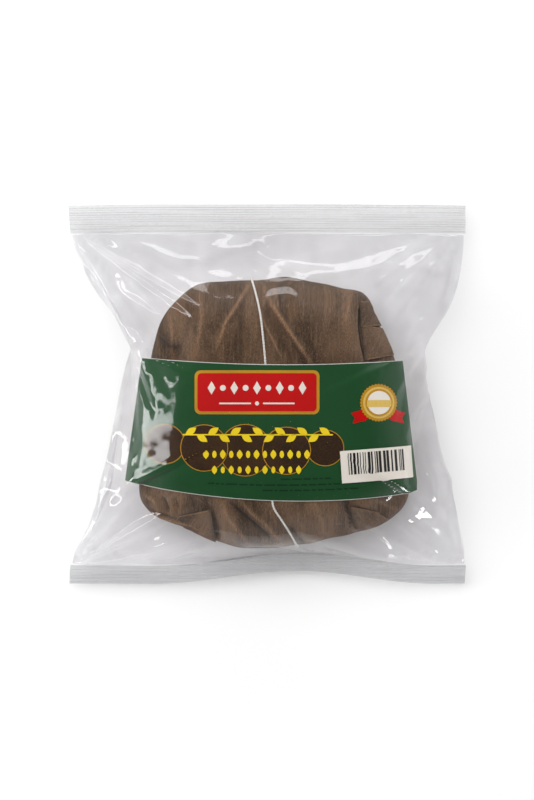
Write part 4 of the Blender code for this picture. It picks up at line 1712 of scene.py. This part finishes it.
    def clear_of_block(self, points: np.ndarray) -> np.ndarray:
        """Return the heights of the film's vertices, lifted off the block's crown where lower."""
        share = self.label.share(self.block, points[:, 0], points[:, 1])
        crown = self.block.crown(share) + self.crown_clearance
        least = crown - 10.0 * MM * smooth_step((share - 0.95) / 0.04)
        over = (share < 0.99) & (points[:, 2] > self.block.girth_height)
        return np.where(over, np.maximum(points[:, 2], least), points[:, 2])

    def build(self, finish: bpy.types.Material) -> bpy.types.Object:
        """Build the film of the bag between its seals.

        Args:
            finish: The film's material.

        Returns:
            The finished piece.
        """
        film = self.flat_tube()
        across, along, front = self.sheet_places(film)
        points = self.simulate(film)
        inside = (1.0 - across**10) * (1.0 - along**10)
        # The grey share paints shade on the crease facets that lean one way.
        lift, grey_and_facet_shade = self.crumple(points, front)
        points[:, 2] += lift * inside
        write_attribute(film.data, "grey_and_facet_shade", grey_and_facet_shade)
        write_points(film.data, points)
        round_off(film)
        points = read_points(film.data)
        points[:, 2] = self.clear_of_block(points)
        points[:, 2] = np.maximum(points[:, 2], self.floor_clearance)
        write_points(film.data, points)
        film.data.materials.clear()
        film.data.materials.append(finish)
        shade_smooth(film, math.radians(170.0))
        hand_over(film)
        return film


@dataclass
class SealBand:
    """A band at one end of the bag where its sheets are pressed together in fine ribs."""

    bag: FilmBag
    end: SealEnd
    columns: int = 180
    rows: int = 84
    ribs: int = 12
    rib_height: float = 0.11 * MM
    thickness: float = 0.14 * MM
    drop: float = 9.0 * MM
    corner_drop_share: float = 0.65

    def build(self, finish: bpy.types.Material) -> bpy.types.Object:
        """Build the band.

        Args:
            finish: The seals' material.

        Returns:
            The finished piece.
        """
        piece = add_grid(f"seal_{self.end.name.lower()}", self.columns, self.rows)
        flat = read_points(piece.data)
        across = flat[:, 0]
        out = 0.5 * (flat[:, 1] + 1.0)
        along = self.end.value * (1.0 + out)
        x, y = self.bag.place(across, along)
        z = self.bag.rim_height(across, np.full(across.shape, self.end.value))
        rib = np.sin(2.0 * math.pi * self.ribs * out) * smooth_step(out * 12.0)
        z = z + self.rib_height * rib
        if self.end is SealEnd.BOTTOM:
            corner = np.abs(across) ** 3
            fall = self.drop * (1.0 + (self.corner_drop_share - 1.0) * corner)
            z = z - fall * out**1.25
        write_points(piece.data, np.stack([x, y, z], 1))
        # The groove share paints shade in the troughs between the ribs.
        write_attribute(piece.data, "groove", 0.5 - 0.5 * rib)
        if self.end is SealEnd.BOTTOM:
            piece.data.flip_normals()
        thicken(piece, self.thickness)
        piece.data.materials.append(finish)
        shade_smooth(piece, math.radians(60.0))
        hand_over(piece)
        return piece


@dataclass
class Studio:
    """The plain pale floor, the soft lights and the camera that looks down."""

    camera_height: float = 1.25
    camera_shift_y: float = -2.3 * MM
    focus_height: float = 20.0 * MM
    floor_size: float = 6.0
    floor_colour: Colour = (0.96, 0.96, 0.96)
    wall_light: float = 0.42
    ceiling_light: float = 0.01

    def build(self) -> None:
        """Build floor, lights, world and camera."""
        self.build_floor()
        self.add_light("light_left", (-1.05, 0.05, 0.44), (0.10, 1.0), 3.0)
        self.add_light("light_left_front", (-0.85, -0.85, 0.2), (0.5, 0.16), 3.0)
        self.add_light("light_right_front", (0.85, -0.85, 0.2), (0.5, 0.16), 4.0)
        self.add_light("light_right_back", (0.85, 0.9, 0.2), (0.5, 0.16), 4.0)
        self.add_light("light_back", (0.0, 1.2, 0.1), (1.6, 0.2), 4.0)
        above = self.add_light("light_above", (-0.4, 0.6, 1.75), (2.0, 2.0), 41.0)
        above.visible_glossy = False
        self.build_world()
        self.build_camera()
        bpy.context.scene.view_settings.view_transform = "Standard"

    def build_floor(self) -> None:
        """Add the floor and give it its pale material."""
        bpy.ops.object.select_all(action="DESELECT")
        bpy.ops.mesh.primitive_plane_add(size=self.floor_size)
        floor = bpy.context.object
        floor.name = "floor"
        sketch = NodeSketch("pale_floor")
        shader = sketch.node("BsdfPrincipled", Base_Color=(*self.floor_colour, 1.0), Roughness=0.9)
        floor.data.materials.append(sketch.finish(shader.outputs[0]))

    def add_light(self, name: str, place: Triple, size: Point, power: float) -> bpy.types.Object:
        """Add a soft box that faces the pack.

        Args:
            name: The light's name.
            place: Where it stands.
            size: Its width and its length.
            power: Its power in watts.

        Returns:
            The light.
        """
        lamp = bpy.data.lights.new(name, "AREA")
        lamp.shape = "RECTANGLE"
        lamp.size, lamp.size_y = size
        lamp.energy = power
        light = bpy.data.objects.new(name, lamp)
        light.location = place
        inwards = Vector([-value for value in place])
        light.rotation_euler = inwards.to_track_quat("-Z", "Y").to_euler()
        bpy.context.scene.collection.objects.link(light)
        return light

    def build_world(self) -> None:
        """Set pale walls all round that darken towards the ceiling."""
        world = bpy.data.worlds.new("studio")
        world.use_nodes = True
        tree = world.node_tree
        ground = tree.nodes["Background"]
        way = tree.nodes.new("ShaderNodeTexCoord")
        parts = tree.nodes.new("ShaderNodeSeparateXYZ")
        rise = tree.nodes.new("ShaderNodeMapRange")
        rise.interpolation_type = "SMOOTHSTEP"
        for name, value in (("From Min", 0.15), ("From Max", 0.9), ("To Min", self.wall_light),
                            ("To Max", self.ceiling_light)):
            rise.inputs[name].default_value = value
        tree.links.new(way.outputs["Generated"], parts.inputs[0])
        tree.links.new(parts.outputs["Z"], rise.inputs["Value"])
        tree.links.new(rise.outputs[0], ground.inputs["Strength"])
        ground.inputs["Color"].default_value = (1.0, 1.0, 1.0, 1.0)
        bpy.context.scene.world = world

    def build_camera(self) -> None:
        """Add the camera straight above the pack, framed as the photograph is."""
        data = bpy.data.cameras.new("camera")
        data.sensor_fit = "VERTICAL"
        data.sensor_height = 36.0
        distance = self.camera_height - self.focus_height
        data.lens = data.sensor_height * distance / (PICTURE_HEIGHT * PIXEL_SIZE)
        data.clip_start = 0.01
        camera = bpy.data.objects.new("camera", data)
        camera.location = (0.0, self.camera_shift_y, self.camera_height)
        bpy.context.scene.collection.objects.link(camera)
        bpy.context.scene.camera = camera


def main() -> None:
    """Build the studio and the pack."""
    logging.basicConfig(level=logging.INFO, format="%(message)s")
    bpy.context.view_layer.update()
    block = BlockForm()
    label = LabelForm()
    leaf = LeafFinish().material("dried_leaf")
    wrap = LeafWrap(block)
    wrap.build(leaf)
    LeafFlaps(block, wrap).build(leaf)
    TieString(block).build(StringFinish().material("cotton_string"))
    PaperBand(block, label).build()
    bag = FilmBag(block, label)
    bag.build(FilmFinish().material("clear_film"))
    SealBand(bag, SealEnd.TOP).build(SealFinish().material("pressed_film_top"))
    # A darker tint and more haze paint the shadow that the bottom seal lies in; its twice-crimped
    # film is also more clouded.
    shadowed_cloudier_seal = SealFinish(tint=(0.905, 0.905, 0.912), haze=(0.10, 0.34))
    SealBand(bag, SealEnd.BOTTOM).build(shadowed_cloudier_seal.material("pressed_film_bottom"))
    Studio().build()
    LOG.info("finished")


if __name__ == "__main__":
    main()
